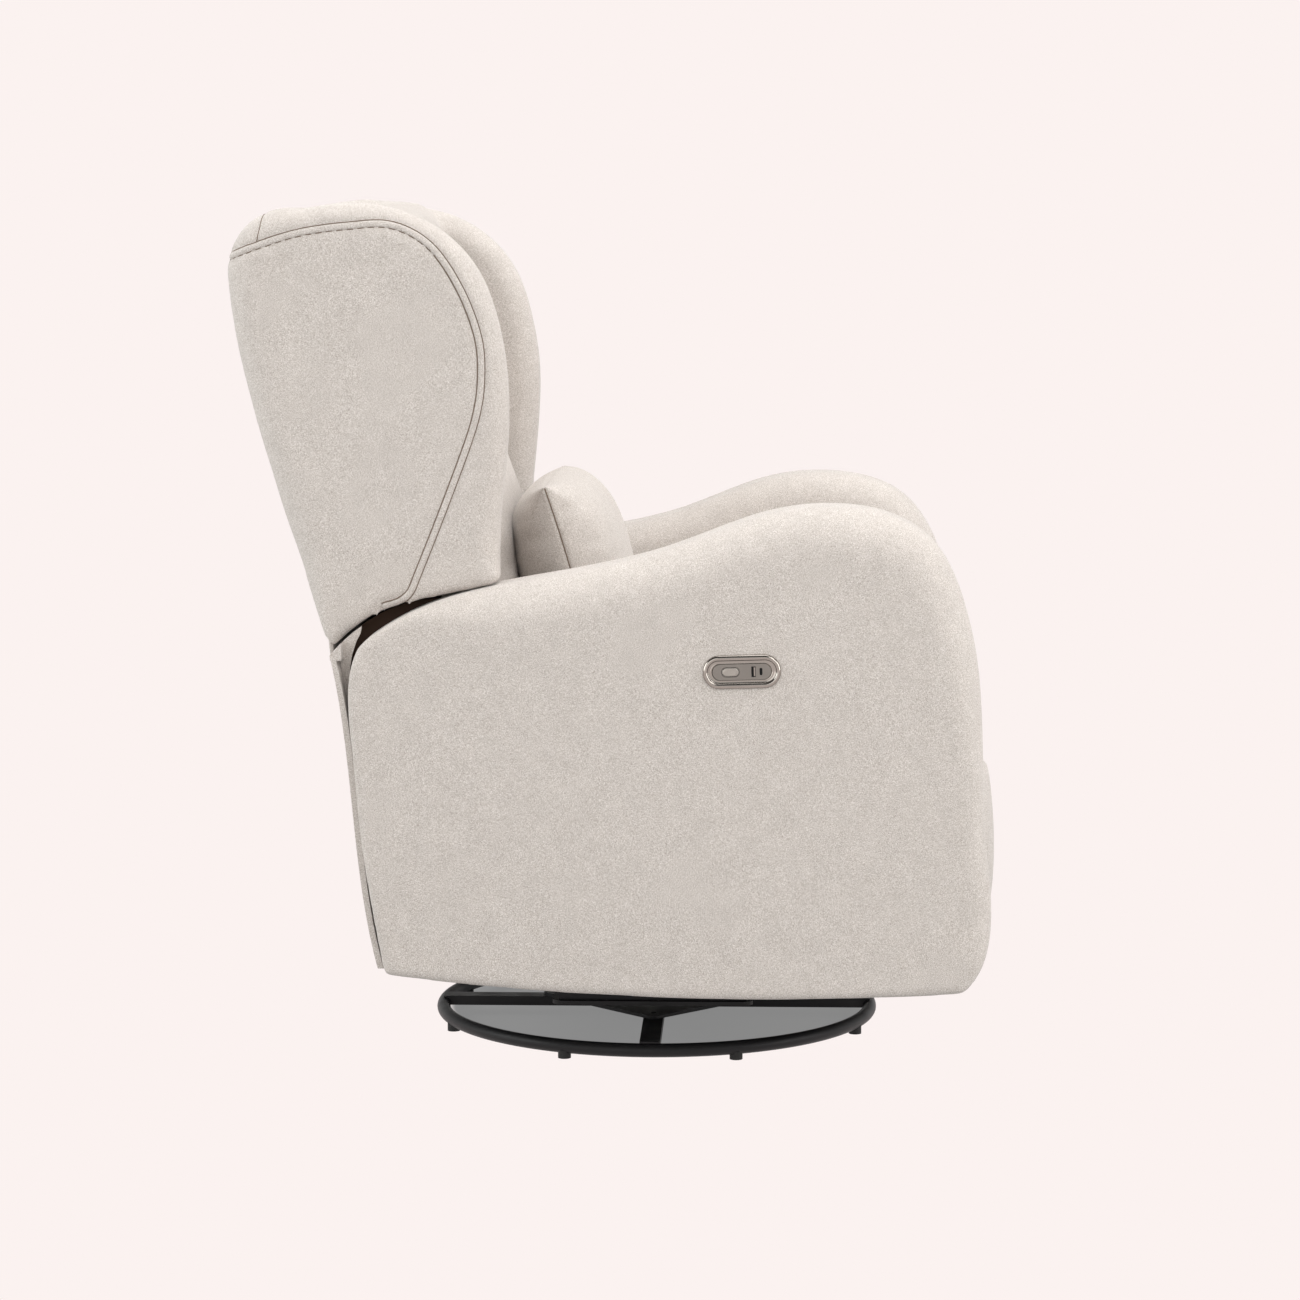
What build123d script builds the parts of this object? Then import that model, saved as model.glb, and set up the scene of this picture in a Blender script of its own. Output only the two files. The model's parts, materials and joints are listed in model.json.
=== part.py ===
from build123d import *
import os
from math import cos, radians, sin

# Power glider nursery chair: wing back, two upholstered arms, swivel ring base, gliding seat,
# reclining back, folding footrest and a loose lumbar pillow. Millimetres, +Z up, front towards -Y,
# origin on the floor below the middle of the chair.

os.makedirs("parts", exist_ok=True)

# ---------------------------------------------------------------- driving dimensions
# Clearances
running_clearance = 0.05  # radial, pin in its bore
side_gap = 0.5  # between two plates that turn on one pin
seat_gap = 0.3  # between soft covers and what they rest on

# Ring base and swivel
swivel_y = -44.0
glide_height = 6.0
glide_diameter = 16.0
glide_count = 8
ring_radius = 275.0
ring_tube = 17.0
bar_width = 25.0
bar_thickness = 12.0
hub_plate_diagonal = 300.0
hub_plate_thickness = 4.0
race_radius = 62.0
race_width = 20.0
race_height = 9.5
ball_diameter = 10.0
ball_count = 16
kingpin_diameter = 20.0
kingpin_head = 34.0
kingpin_head_height = 6.0
swivel_plate_width = 352.0
swivel_plate_depth = 250.0
swivel_plate_thickness = 5.0

# Glide linkage
glide_pivot_span = 210.0
glide_pivot_z = 225.0
glide_link_length = 120.0
glide_link_width = 28.0
glide_link_thickness = 4.0
glide_pin_diameter = 12.0
pin_head_diameter = 20.0
pin_head_height = 3.5
stand_half_width = 165.0
stand_plate_thickness = 5.0
stand_lobe = 16.0
stand_tube_diameter = 22.0
stand_tube_span = 120.0
hanger_thickness = 5.0
hanger_lobe = 18.0
hanger_offset = 17.5  # from the middle of the stand plate to the middle of the hanger

# Seat
seat_frame_half_width = 239.7
seat_frame_front = -345.0
seat_frame_rear = 150.0
seat_frame_bottom = 352.0
seat_frame_height = 23.0
hanger_landing = 3.0  # seat rail inboard of the hanger
seat_end_rail_width = 42.0
spring_count = 5
spring_pitch = 78.0
spring_wave = 44.0
spring_wire = 3.6
seat_half_width = 232.0
seat_front = -455.0
seat_rear = 94.0
seat_top = 488.0
seat_crown = 8.0
seat_nose_radius = 42.0

# Arms and rear panel
arm_inner = 240.0
arm_outer = 386.0
arm_roll = 46.0
arm_rear_edge = 24.0
arm_front_y = -447.0
arm_depth = 770.0
arm_bottom_z = 101.0
arm_height = 584.0
rear_panel_thickness = 7.0
rear_panel_inset = 12.0  # from the outer faces of the arms

# Back
recline_y = 200.0
recline_z = 400.0
recline_pin_diameter = 16.0
hinge_plate_thickness = 5.0
hinge_plate_inner = 229.0
recline_lobe = 22.0
back_underside_radius = 174.0
back_height = 650.0  # from the recline pivot to the crown
back_depth = 256.0  # from the recline pivot to the rearmost point
shell_half_width = 262.0
wing_thickness = 73.0
wing_roll = 26.0

# Lumbar pillow
pillow_half_width = 208.0
pillow_rise = 210.0
pillow_lean = 54.0
pillow_foot_y = 36.0
pillow_thickness = 72.0  # from the line through its seams to its front
pillow_rear_share = 0.89  # of that thickness, to its rear
pillow_gap = 1.0  # over the seat cushion, at the seam

# Footrest scissor linkage
scissor_length = 200.0
scissor_folded = 82.0  # angle of the links to the scissor's axis, folded
scissor_extended = 8.0  # the same angle, extended
scissor_tilt = -4.0  # angle of the scissor's axis above the floor, folded
scissor_tilt_extended = 20.0  # the same angle, extended
scissor_y = -312.0
scissor_z = 141.0
scissor_link_width = 20.0
scissor_link_thickness = 4.0
scissor_inner = 196.0
scissor_pin_diameter = 10.0
scissor_pin_head = 15.0
cross_tube_diameter = 18.0
footrest_half_width = 232.0
footrest_back = -392.0
footrest_front = -462.0
footrest_bottom = 133.0
footrest_top = 370.0
footrest_bulge = 10.0
footrest_edge = 14.0  # radius of the pad's long edges
footrest_board_thickness = 6.0

# Drive
drive_rail_width = 26.0
drive_rail_height = 14.0
screw_diameter = 10.0
screw_z = 300.0
drive_block_length = 44.0
drive_block_y = 10.0
gearbox_size = 52.0
motor_diameter = 46.0
motor_length = 92.0

# Arm control
control_y = -156.0
control_z = 493.6
bezel_length = 92.0
bezel_height = 40.0
bezel_thickness = 3.2
insert_length = 69.0
insert_height = 20.0
insert_thickness = 2.4
rocker_width = 20.0
rocker_height = 10.5
rocker_offset = 13.4
usb_a_width = 5.1
usb_a_height = 12.5
usb_a_offset = -13.7
usb_c_width = 3.3
usb_c_height = 8.9
usb_c_offset = -22.5
socket_depth = 14.0
socket_wall = 0.8
pocket_lip = 1.5  # how far the arm's pocket stays inside the insert

# ---------------------------------------------------------------- worked-out heights
ring_z = glide_height + ring_tube / 2
bar_top = ring_z + bar_thickness / 2 + 4.5
hub_top = bar_top + hub_plate_thickness
ball_z = hub_top + race_height + side_gap
upper_race_z = ball_z + side_gap
swivel_plate_z = upper_race_z + race_height
stand_z = swivel_plate_z + swivel_plate_thickness
glide_lower_z = glide_pivot_z - glide_link_length
glide_front_y = swivel_y - glide_pivot_span / 2
glide_rear_y = swivel_y + glide_pivot_span / 2
seat_frame_top = seat_frame_bottom + seat_frame_height
spring_top = seat_frame_top + spring_wire
cushion_bottom = spring_top + seat_gap
stand_outer = stand_half_width + stand_plate_thickness / 2
link_inner = stand_outer + side_gap
link_outer = link_inner + glide_link_thickness
hanger_inner = stand_half_width + hanger_offset - hanger_thickness / 2
hanger_outer = hanger_inner + hanger_thickness
seat_rail_width = seat_frame_half_width - hanger_inner + hanger_landing
wing_inner = shell_half_width + seat_gap
wing_outer = shell_half_width + wing_thickness


def save(part, name):
    """Label one finished piece and write it."""
    part.label = name
    export_step(part, f"parts/{name}.step")


def both_sides(part):
    """The piece and its mirror image on the other side of the chair."""
    return Compound(children=[Part(part.wrapped), Part(mirror(part, about=Plane.YZ).wrapped)])


# ---------------------------------------------------------------- ring base
swivel_plane = Plane((0, swivel_y, 0))

with BuildPart() as base_ring:
    with BuildSketch(Plane((0, swivel_y, ring_z), x_dir=(1, 0, 0), z_dir=(0, -1, 0))):
        with Locations((ring_radius, 0)):
            Circle(ring_tube / 2)
    revolve(axis=Axis((0, swivel_y, 0), (0, 0, 1)))
save(base_ring.part, "base_ring")

with BuildPart() as cross_bars:
    with BuildSketch(Plane((0, swivel_y, bar_top - bar_thickness))):
        Rectangle(2 * ring_radius, bar_width)
        Rectangle(bar_width, 2 * ring_radius)
    extrude(amount=bar_thickness)
    add(base_ring.part, mode=Mode.SUBTRACT)
save(Part(cross_bars.part.solids().sort_by(SortBy.VOLUME)[-1].wrapped), "cross_bars")

with BuildPart() as hub_plate:
    with BuildSketch(Plane((0, swivel_y, bar_top))):
        Rectangle(hub_plate_diagonal / 2**0.5, hub_plate_diagonal / 2**0.5, rotation=45)
        with PolarLocations(hub_plate_diagonal * 0.42, 4):
            Circle(4, mode=Mode.SUBTRACT)
    extrude(amount=hub_plate_thickness)
    uprights = hub_plate.edges().filter_by(Axis.Z)
    fillet(uprights.sort_by(lambda e: e.distance_to((0, swivel_y, bar_top)))[-4:], 10)
save(hub_plate.part, "hub_plate")

with BuildPart() as glides:
    with BuildSketch(swivel_plane):
        with PolarLocations(ring_radius, glide_count, start_angle=180 / glide_count):
            Circle(glide_diameter / 2)
    extrude(amount=glide_height + ring_tube / 4)
    add(base_ring.part, mode=Mode.SUBTRACT)
save(glides.part, "base_glides")

with BuildPart() as lower_race:
    with BuildSketch(Plane((0, swivel_y, hub_top))):
        Circle(race_radius + race_width / 2)
        Circle(race_radius - race_width / 2, mode=Mode.SUBTRACT)
    extrude(amount=race_height)
    with Locations((0, swivel_y, ball_z)):
        Torus(race_radius, ball_diameter / 2 + running_clearance, mode=Mode.SUBTRACT)
save(lower_race.part, "swivel_lower_race")

with BuildPart() as balls:
    with Locations((0, swivel_y, ball_z)):
        with PolarLocations(race_radius, ball_count):
            Sphere(ball_diameter / 2)
save(balls.part, "swivel_balls")

with BuildPart() as kingpin:
    with BuildSketch(Plane((0, swivel_y, hub_top))):
        Circle(kingpin_diameter / 2)
    extrude(amount=stand_z + side_gap - hub_top)
    with BuildSketch(Plane((0, swivel_y, stand_z + side_gap))):
        Circle(kingpin_head / 2)
    extrude(amount=kingpin_head_height)
    chamfer(kingpin.edges().group_by(Axis.Z)[-1], 1.5)
save(kingpin.part, "swivel_kingpin")

# ---------------------------------------------------------------- swivel carriage
with BuildPart() as upper_race:
    with BuildSketch(Plane((0, swivel_y, upper_race_z))):
        Circle(race_radius + race_width / 2)
        Circle(race_radius - race_width / 2, mode=Mode.SUBTRACT)
    extrude(amount=race_height)
    with Locations((0, swivel_y, ball_z)):
        Torus(race_radius, ball_diameter / 2 + running_clearance, mode=Mode.SUBTRACT)
save(upper_race.part, "swivel_upper_race")

with BuildPart() as swivel_plate:
    with BuildSketch(Plane((0, swivel_y, swivel_plate_z))):
        RectangleRounded(swivel_plate_width, swivel_plate_depth, 14)
        Circle(kingpin_diameter / 2 + running_clearance, mode=Mode.SUBTRACT)
    extrude(amount=swivel_plate_thickness)
save(swivel_plate.part, "swivel_plate")


def side_plane(x):
    """Plane across the chair at x, its own x along world Y and its own y up."""
    return Plane((x, 0, 0), x_dir=(0, 1, 0), z_dir=(1, 0, 0))


stand_foot = swivel_plate_depth / 2 - 8
with BuildPart() as stand_side:
    with BuildSketch(side_plane(stand_half_width - stand_plate_thickness / 2)):
        with BuildLine():
            Polyline(
                (swivel_y - stand_foot, stand_z),
                (swivel_y + stand_foot, stand_z),
                (glide_rear_y + stand_lobe, glide_pivot_z),
                (glide_front_y - stand_lobe, glide_pivot_z),
                close=True,
            )
        make_face()
        with Locations((glide_front_y, glide_pivot_z), (glide_rear_y, glide_pivot_z)):
            Circle(stand_lobe)
        with Locations((glide_front_y, glide_pivot_z), (glide_rear_y, glide_pivot_z)):
            Circle(glide_pin_diameter / 2 + running_clearance, mode=Mode.SUBTRACT)
        with Locations((swivel_y, stand_z + 75)):
            Trapezoid(150, 90, 80, rotation=180, mode=Mode.SUBTRACT)
    extrude(amount=stand_plate_thickness)
save(both_sides(stand_side.part), "stand_plates")

with BuildPart() as stand_tubes:
    with BuildSketch(side_plane(-stand_half_width + stand_plate_thickness / 2)):
        with Locations(
            (swivel_y - stand_tube_span / 2, glide_pivot_z - 14),
            (swivel_y + stand_tube_span / 2, glide_pivot_z - 14),
        ):
            Circle(stand_tube_diameter / 2)
            Circle(stand_tube_diameter / 2 - 2, mode=Mode.SUBTRACT)
    extrude(amount=2 * stand_half_width - stand_plate_thickness)
save(stand_tubes.part, "stand_tubes")

with BuildPart() as upper_pin:
    for pivot_y in (glide_front_y, glide_rear_y):
        with BuildSketch(side_plane(stand_half_width - stand_plate_thickness / 2 - pin_head_height)):
            with Locations((pivot_y, glide_pivot_z)):
                Circle(pin_head_diameter / 2)
        extrude(amount=pin_head_height)
        with BuildSketch(side_plane(stand_half_width - stand_plate_thickness / 2)):
            with Locations((pivot_y, glide_pivot_z)):
                Circle(glide_pin_diameter / 2)
        extrude(amount=stand_plate_thickness + 2 * side_gap + glide_link_thickness)
        with BuildSketch(side_plane(link_outer + side_gap)):
            with Locations((pivot_y, glide_pivot_z)):
                Circle(pin_head_diameter / 2)
        extrude(amount=pin_head_height)
save(both_sides(upper_pin.part), "glide_upper_pins")


# ---------------------------------------------------------------- glide links
def glide_link(pivot_y):
    """One hanging link, with a bore at each end."""
    with BuildPart() as link:
        with BuildSketch(side_plane(link_inner)):
            with Locations((pivot_y, glide_pivot_z - glide_link_length / 2)):
                SlotCenterToCenter(glide_link_length, glide_link_width, rotation=90)
            with Locations((pivot_y, glide_pivot_z), (pivot_y, glide_lower_z)):
                Circle(glide_pin_diameter / 2 + running_clearance, mode=Mode.SUBTRACT)
        extrude(amount=glide_link_thickness)
    return link.part


save(both_sides(glide_link(glide_front_y)), "front_glide_links")
save(both_sides(glide_link(glide_rear_y)), "rear_glide_links")

# ---------------------------------------------------------------- seat frame and hangers
with BuildPart() as lower_pin:
    for pivot_y in (glide_front_y, glide_rear_y):
        with BuildSketch(side_plane(link_inner)):
            with Locations((pivot_y, glide_lower_z)):
                Circle(glide_pin_diameter / 2)
        extrude(amount=hanger_outer + side_gap - link_inner)
        with BuildSketch(side_plane(link_outer + side_gap)):
            with Locations((pivot_y, glide_lower_z)):
                Circle(pin_head_diameter / 2)
        extrude(amount=hanger_inner - link_outer - side_gap - running_clearance)
        with BuildSketch(side_plane(hanger_outer + running_clearance)):
            with Locations((pivot_y, glide_lower_z)):
                Circle(pin_head_diameter / 2)
        extrude(amount=pin_head_height)
save(both_sides(lower_pin.part), "glide_lower_pins")

with BuildPart() as hanger:
    with BuildSketch(side_plane(hanger_inner)):
        with BuildLine():
            Polyline(
                (glide_front_y, glide_lower_z - hanger_lobe),
                (glide_rear_y, glide_lower_z - hanger_lobe),
                (glide_rear_y + hanger_lobe, glide_lower_z),
                (glide_rear_y + hanger_lobe, seat_frame_bottom),
                (glide_front_y - hanger_lobe, seat_frame_bottom),
                (glide_front_y - hanger_lobe, glide_lower_z),
                close=True,
            )
        make_face()
        with Locations((glide_front_y, glide_lower_z), (glide_rear_y, glide_lower_z)):
            Circle(hanger_lobe)
        with Locations((glide_front_y, glide_lower_z), (glide_rear_y, glide_lower_z)):
            Circle(glide_pin_diameter / 2 + running_clearance, mode=Mode.SUBTRACT)
        with Locations((swivel_y, (glide_lower_z + seat_frame_bottom) / 2 + 4)):
            RectangleRounded(glide_pivot_span - 36, 168, 24, mode=Mode.SUBTRACT)
    extrude(amount=hanger_thickness)
save(both_sides(hanger.part), "glide_hangers")

frame_middle = (seat_frame_front + seat_frame_rear) / 2
frame_depth = seat_frame_rear - seat_frame_front
with BuildPart() as seat_frame:
    with BuildSketch(Plane((0, frame_middle, seat_frame_bottom))):
        Rectangle(2 * seat_frame_half_width, frame_depth)
        Rectangle(
            2 * (seat_frame_half_width - seat_rail_width),
            frame_depth - 2 * seat_end_rail_width,
            mode=Mode.SUBTRACT,
        )
    extrude(amount=seat_frame_height)
    chamfer(seat_frame.edges().group_by(Axis.Z)[-1], 1.5)
save(seat_frame.part, "seat_frame")

wave_count = 10
wave_step = (frame_depth - 20) / wave_count
wave_start = seat_frame_front + 10
with BuildPart() as springs:
    for place in range(spring_count):
        spring_x = (place - (spring_count - 1) / 2) * spring_pitch
        corners = [(spring_x, wave_start)]
        for wave in range(wave_count):
            side = spring_wave / 2 if wave % 2 else -spring_wave / 2
            corners.append((spring_x + side, wave_start + wave * wave_step + 0.1 * wave_step))
            corners.append((spring_x + side, wave_start + wave * wave_step + 0.9 * wave_step))
        corners.append((spring_x, wave_start + wave_count * wave_step))
        with BuildSketch(Plane.XY.offset(seat_frame_top)):
            with BuildLine() as wire_line:
                FilletPolyline(*corners, radius=wave_step * 0.24)
            trace(wire_line.edges(), spring_wire)
        extrude(amount=spring_wire)
save(springs.part, "seat_springs")

seat_rise = (0.0, 6.0, seat_crown + 12.0)  # how far the cover lies below the crown, middle to edge
seat_stations = (0.0, 0.8, 1.0)  # share of the half width at which it does


def seat_profile(x, inset):
    """Side section of the seat cushion at x, drawn in by inset."""
    front = seat_front + inset
    top = seat_top - seat_crown - inset
    middle = (cushion_bottom + top) / 2 - 4
    with BuildSketch(side_plane(x)) as section:
        with BuildLine():
            Line((seat_rear, cushion_bottom), (front + seat_nose_radius, cushion_bottom))
            ThreePointArc(
                (front + seat_nose_radius, cushion_bottom),
                (front, middle),
                (front + seat_nose_radius, top),
            )
            ThreePointArc(
                (front + seat_nose_radius, top),
                ((front + seat_rear) / 2, top + seat_crown),
                (seat_rear, top),
            )
            Line((seat_rear, top), (seat_rear, cushion_bottom))
        make_face()
    return section.sketch


with BuildPart() as seat_cushion:
    for share, inset in zip(seat_stations[:0:-1], seat_rise[:0:-1]):
        add(seat_profile(-share * seat_half_width, inset))
    for share, inset in zip(seat_stations, seat_rise):
        add(seat_profile(share * seat_half_width, inset))
    loft()
save(seat_cushion.part, "seat_cushion")


# ---------------------------------------------------------------- arms
def arm_point(rearward, up):
    """Point of the arm's side, given as shares of its depth and its height."""
    return (arm_front_y + arm_depth * rearward, arm_bottom_z + arm_height * up)


arm_rear_shape = (
    (0.9286, 0.0462), (0.9462, 0.1695), (0.9587, 0.2705), (0.9692, 0.4041),
    (0.9769, 0.5120), (0.9818, 0.5890), (0.9799, 0.6575), (0.9649, 0.7192),
)
arm_top_shape = (
    (0.8597, 0.7997), (0.6455, 0.8647), (0.4844, 0.9161),
    (0.3455, 0.9829), (0.2156, 0.9983), (0.0987, 0.9452), (0.0364, 0.8082),
    (0.0078, 0.5137), (0.0000, 0.2979), (0.0104, 0.0582), (0.0364, 0.0154),
)
arm_sole_middle = arm_point(0.4377, 0.0000)


def arm_outline():
    """Side outline of an arm: bowed sole, upright front, high S-shaped top, raked rear."""
    rear = [arm_point(*spot) for spot in arm_rear_shape]
    top = [arm_point(*spot) for spot in arm_top_shape]
    Spline(*rear)
    Spline(rear[-1], *top)
    ThreePointArc(top[-1], arm_sole_middle, rear[0])


def make_arm(side):
    """One upholstered arm, side +1 or -1."""
    with BuildPart() as arm:
        with BuildSketch(side_plane(side * arm_inner)):
            with BuildLine():
                arm_outline()
            make_face()
        extrude(amount=side * (arm_outer - arm_inner))
        outer_rim = arm.edges().filter_by(lambda e: abs(abs(e.center().X) - arm_outer) < 1)
        inner_rim = arm.edges().filter_by(lambda e: abs(abs(e.center().X) - arm_inner) < 1)
        fillet([outer_rim.sort_by(Axis.Z)[-1], inner_rim.sort_by(Axis.Z)[-1]], arm_roll)
        outer_rim = arm.edges().filter_by(lambda e: abs(abs(e.center().X) - arm_outer) < 1)
        fillet(outer_rim.sort_by(Axis.Y)[-1], arm_rear_edge)
        if side < 0:
            with BuildSketch(side_plane(-arm_outer)):
                with Locations((control_y, control_z)):
                    SlotOverall(insert_length - 2 * pocket_lip, insert_height - 2 * pocket_lip)
            extrude(amount=socket_depth + 2, mode=Mode.SUBTRACT)
    return arm


arm_left = make_arm(1)
save(arm_left.part, "arm_left")
arm_right = make_arm(-1)
save(arm_right.part, "arm_right")

# ---------------------------------------------------------------- rear panel and hinge plates
rear_panel_shape = ((0.9403, 0.0565), (0.9688, 0.2705), (0.9935, 0.5771), (1.0104, 0.6986))
rear_panel_half_width = arm_outer - rear_panel_inset
with BuildPart() as rear_panel:
    outer_face = [arm_point(*spot) for spot in rear_panel_shape]
    inner_face = [(y - rear_panel_thickness, z) for y, z in outer_face]
    inner_face[-1] = (inner_face[-1][0], inner_face[-1][1] - rear_panel_thickness / 2)
    with BuildSketch(side_plane(-rear_panel_half_width)):
        with BuildLine():
            Spline(*outer_face)
            Line(outer_face[-1], inner_face[-1])
            Spline(*inner_face)
            Line(inner_face[0], outer_face[0])
        make_face()
    extrude(amount=2 * rear_panel_half_width)
save(rear_panel.part, "rear_panel")

hinge_pivot = (recline_y, recline_z)
with BuildPart() as hinge_plate:
    with BuildSketch(side_plane(hinge_plate_inner)):
        with BuildLine():
            Polyline(
                (seat_rear + 8, seat_frame_top),
                (seat_frame_rear, seat_frame_top),
                (recline_y + recline_lobe * 0.6, recline_z - recline_lobe * 0.8),
                (recline_y - recline_lobe * 0.6, recline_z + recline_lobe * 0.8),
                (seat_rear + 8, seat_frame_top + 26),
                close=True,
            )
        make_face()
        with Locations(hinge_pivot):
            Circle(recline_lobe)
            Circle(recline_pin_diameter / 2 + running_clearance, mode=Mode.SUBTRACT)
    extrude(amount=hinge_plate_thickness)
save(both_sides(hinge_plate.part), "back_hinge_plates")

bracket_outer = hinge_plate_inner - side_gap
bracket_inner = bracket_outer - hinge_plate_thickness
tongue_half_width = bracket_inner - seat_gap
with BuildPart() as recline_pin:
    with BuildSketch(side_plane(bracket_inner)):
        with Locations(hinge_pivot):
            Circle(recline_pin_diameter / 2)
    extrude(amount=hinge_plate_inner + hinge_plate_thickness - bracket_inner)
    with BuildSketch(side_plane(hinge_plate_inner + hinge_plate_thickness + running_clearance)):
        with Locations(hinge_pivot):
            Circle(recline_pin_diameter / 2 + 4)
    extrude(amount=3.5)
    with BuildSketch(side_plane(hinge_plate_inner + hinge_plate_thickness)):
        with Locations(hinge_pivot):
            Circle(recline_pin_diameter / 2)
    extrude(amount=running_clearance)
save(both_sides(recline_pin.part), "recline_pins")

# ---------------------------------------------------------------- back
with BuildPart() as back_bracket:
    with BuildSketch(side_plane(bracket_inner)):
        with BuildLine():
            Polyline(
                (recline_y - recline_lobe, recline_z),
                (recline_y + recline_lobe, recline_z),
                (recline_y + 6, recline_z + 150),
                (recline_y - 34, recline_z + 150),
                close=True,
            )
        make_face()
        with Locations(hinge_pivot):
            Circle(recline_lobe)
            Circle(recline_pin_diameter / 2 + running_clearance, mode=Mode.SUBTRACT)
        with Locations((recline_y - 10, recline_z + 70), (recline_y - 12, recline_z + 110)):
            Circle(7, mode=Mode.SUBTRACT)
    extrude(amount=hinge_plate_thickness)
save(both_sides(back_bracket.part), "back_brackets")


def swing_point(radius, angle):
    """Point at a radius from the recline pivot, angle in degrees rearward of straight up."""
    return (recline_y + radius * sin(radians(angle)), recline_z + radius * cos(radians(angle)))


underside_front = swing_point(back_underside_radius, 6)
underside_rear = swing_point(back_underside_radius + 1, 48.5)


def back_points(*shares):
    """Points of the back's side, given as shares of its depth and height from the recline pivot."""
    return [(recline_y + back_depth * rearward, recline_z + back_height * up) for rearward, up in shares]


rear_line = back_points(
    (0.5547, 0.1969), (0.7188, 0.3892), (0.8477, 0.5554), (0.9531, 0.7200),
    (1.0000, 0.8462),
)
shell_front = back_points(
    (0.2422, 0.3077), (0.4102, 0.4615), (0.5469, 0.6154), (0.6406, 0.7692),
    (0.6680, 0.8585),
)
shell_crown = back_points(
    (0.6641, 0.9846), (0.4688, 1.0000), (0.2656, 0.9754), (0.2031, 0.9323),
    (0.2812, 0.8985),
)
shell_ledge = (shell_front[-1][0], shell_crown[-1][1])
shell_corner = back_points((0.9258, 0.9415))[0]


def back_rear_line():
    """Outer rear line of the back, from the underside to the crown."""
    Line(underside_rear, rear_line[0])
    Spline(*rear_line)


with BuildPart() as back_shell:
    with BuildSketch(side_plane(-shell_half_width)):
        with BuildLine():
            back_rear_line()
            ThreePointArc(rear_line[-1], shell_corner, shell_crown[0])
            Spline(*shell_crown)
            Line(shell_crown[-1], shell_ledge)
            Line(shell_ledge, shell_front[-1])
            Spline(*shell_front[::-1])
            Line(shell_front[0], underside_front)
            ThreePointArc(underside_front, swing_point(back_underside_radius, 27), underside_rear)
        make_face()
    extrude(amount=2 * shell_half_width)
save(back_shell.part, "back_shell")

cushion_share = (0.0, 0.75, 1.0)
cushion_inset = (0.0, 3.0, 22.0)


cushion_front = back_points(
    (-0.3867, 0.1231), (-0.2812, 0.2462), (-0.2383, 0.3692), (-0.1562, 0.4692),
    (0.0000, 0.6000), (0.1484, 0.7231), (0.2188, 0.8308),
)
cushion_crown = back_points((0.3906, 0.8738))[0]
cushion_tongue = back_points(
    (0.0586, 0.2262), (0.1680, 0.1646), (0.2812, 0.0969), (0.3672, 0.0000),
)
cushion_foot = back_points((-0.3984, -0.0092))[0]


def back_profile(x, inset):
    """Side section of the inner back cushion at x, its front face drawn back by inset."""
    cushion_rear = [(y - seat_gap, z) for y, z in shell_front]
    shelf = (underside_front[0] - seat_gap, underside_front[1])
    foot = (cushion_foot[0] + inset * 0.3, cushion_foot[1])
    heel = (cushion_front[0][0] + inset * 0.6, cushion_front[0][1])
    front = [(y + inset, z) for y, z in cushion_front[1:]]
    with BuildSketch(side_plane(x)) as section:
        with BuildLine():
            Line(foot, heel)
            Spline(heel, *front)
            ThreePointArc(front[-1], (cushion_crown[0] + inset * 0.7, cushion_crown[1]), cushion_rear[-1])
            Spline(*cushion_rear[::-1])
            Line(cushion_rear[0], shelf)
            Line(shelf, cushion_tongue[0])
            Spline(*cushion_tongue)
            Line(cushion_tongue[-1], foot)
        make_face()
    return section.sketch


wing_sole = back_points(
    (-0.2578, 0.2954), (0.0703, 0.2692), (0.3062, 0.2400), (0.4777, 0.1915),
)
sole_reach = 90.0
with BuildPart() as back_cushion:
    for share, inset in zip(cushion_share[:0:-1], cushion_inset[:0:-1]):
        add(back_profile(-share * (shell_half_width - seat_gap), inset))
    for share, inset in zip(cushion_share, cushion_inset):
        add(back_profile(share * (shell_half_width - seat_gap), inset))
    loft()
    for side in (-1, 1):
        with BuildSketch(side_plane(side * tongue_half_width)):
            with BuildLine():
                Polyline(
                    (wing_sole[0][0] - sole_reach, wing_sole[0][1] + sole_reach / 3),
                    *wing_sole,
                    (wing_sole[-1][0] + sole_reach / 3, recline_z - sole_reach),
                    (wing_sole[0][0] - sole_reach, recline_z - sole_reach),
                    close=True,
                )
            make_face()
        extrude(amount=side * shell_half_width, mode=Mode.SUBTRACT)
save(back_cushion.part, "back_cushion")


wing_corner = back_points((0.9375, 0.9323))[0]
wing_front = back_points(
    (0.6484, 0.9754), (0.4180, 0.9846), (0.1172, 0.9615), (-0.1406, 0.8769),
    (-0.2578, 0.7631), (-0.3008, 0.6154), (-0.2734, 0.4615), (-0.2578, 0.2954),
)


def wing_outline():
    """Side outline of a wing: raked rear, swept front edge, sole that follows the arm top."""
    back_rear_line()
    ThreePointArc(rear_line[-1], wing_corner, wing_front[0])
    Spline(*wing_front)
    Spline(*wing_sole, underside_rear)


def make_wing(side):
    """One padded wing, side +1 or -1."""
    with BuildPart() as wing:
        with BuildSketch(side_plane(side * wing_inner)):
            with BuildLine():
                wing_outline()
            make_face()
        extrude(amount=side * (wing_outer - wing_inner))
        rim = wing.edges().filter_by(lambda e: abs(abs(e.center().X) - wing_outer) < 1)
        fillet(rim.sort_by(Axis.Z)[-2:], wing_roll)
    return wing


wing_left = make_wing(1)
save(wing_left.part, "wing_left")
wing_right = make_wing(-1)
save(wing_right.part, "wing_right")

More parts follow.
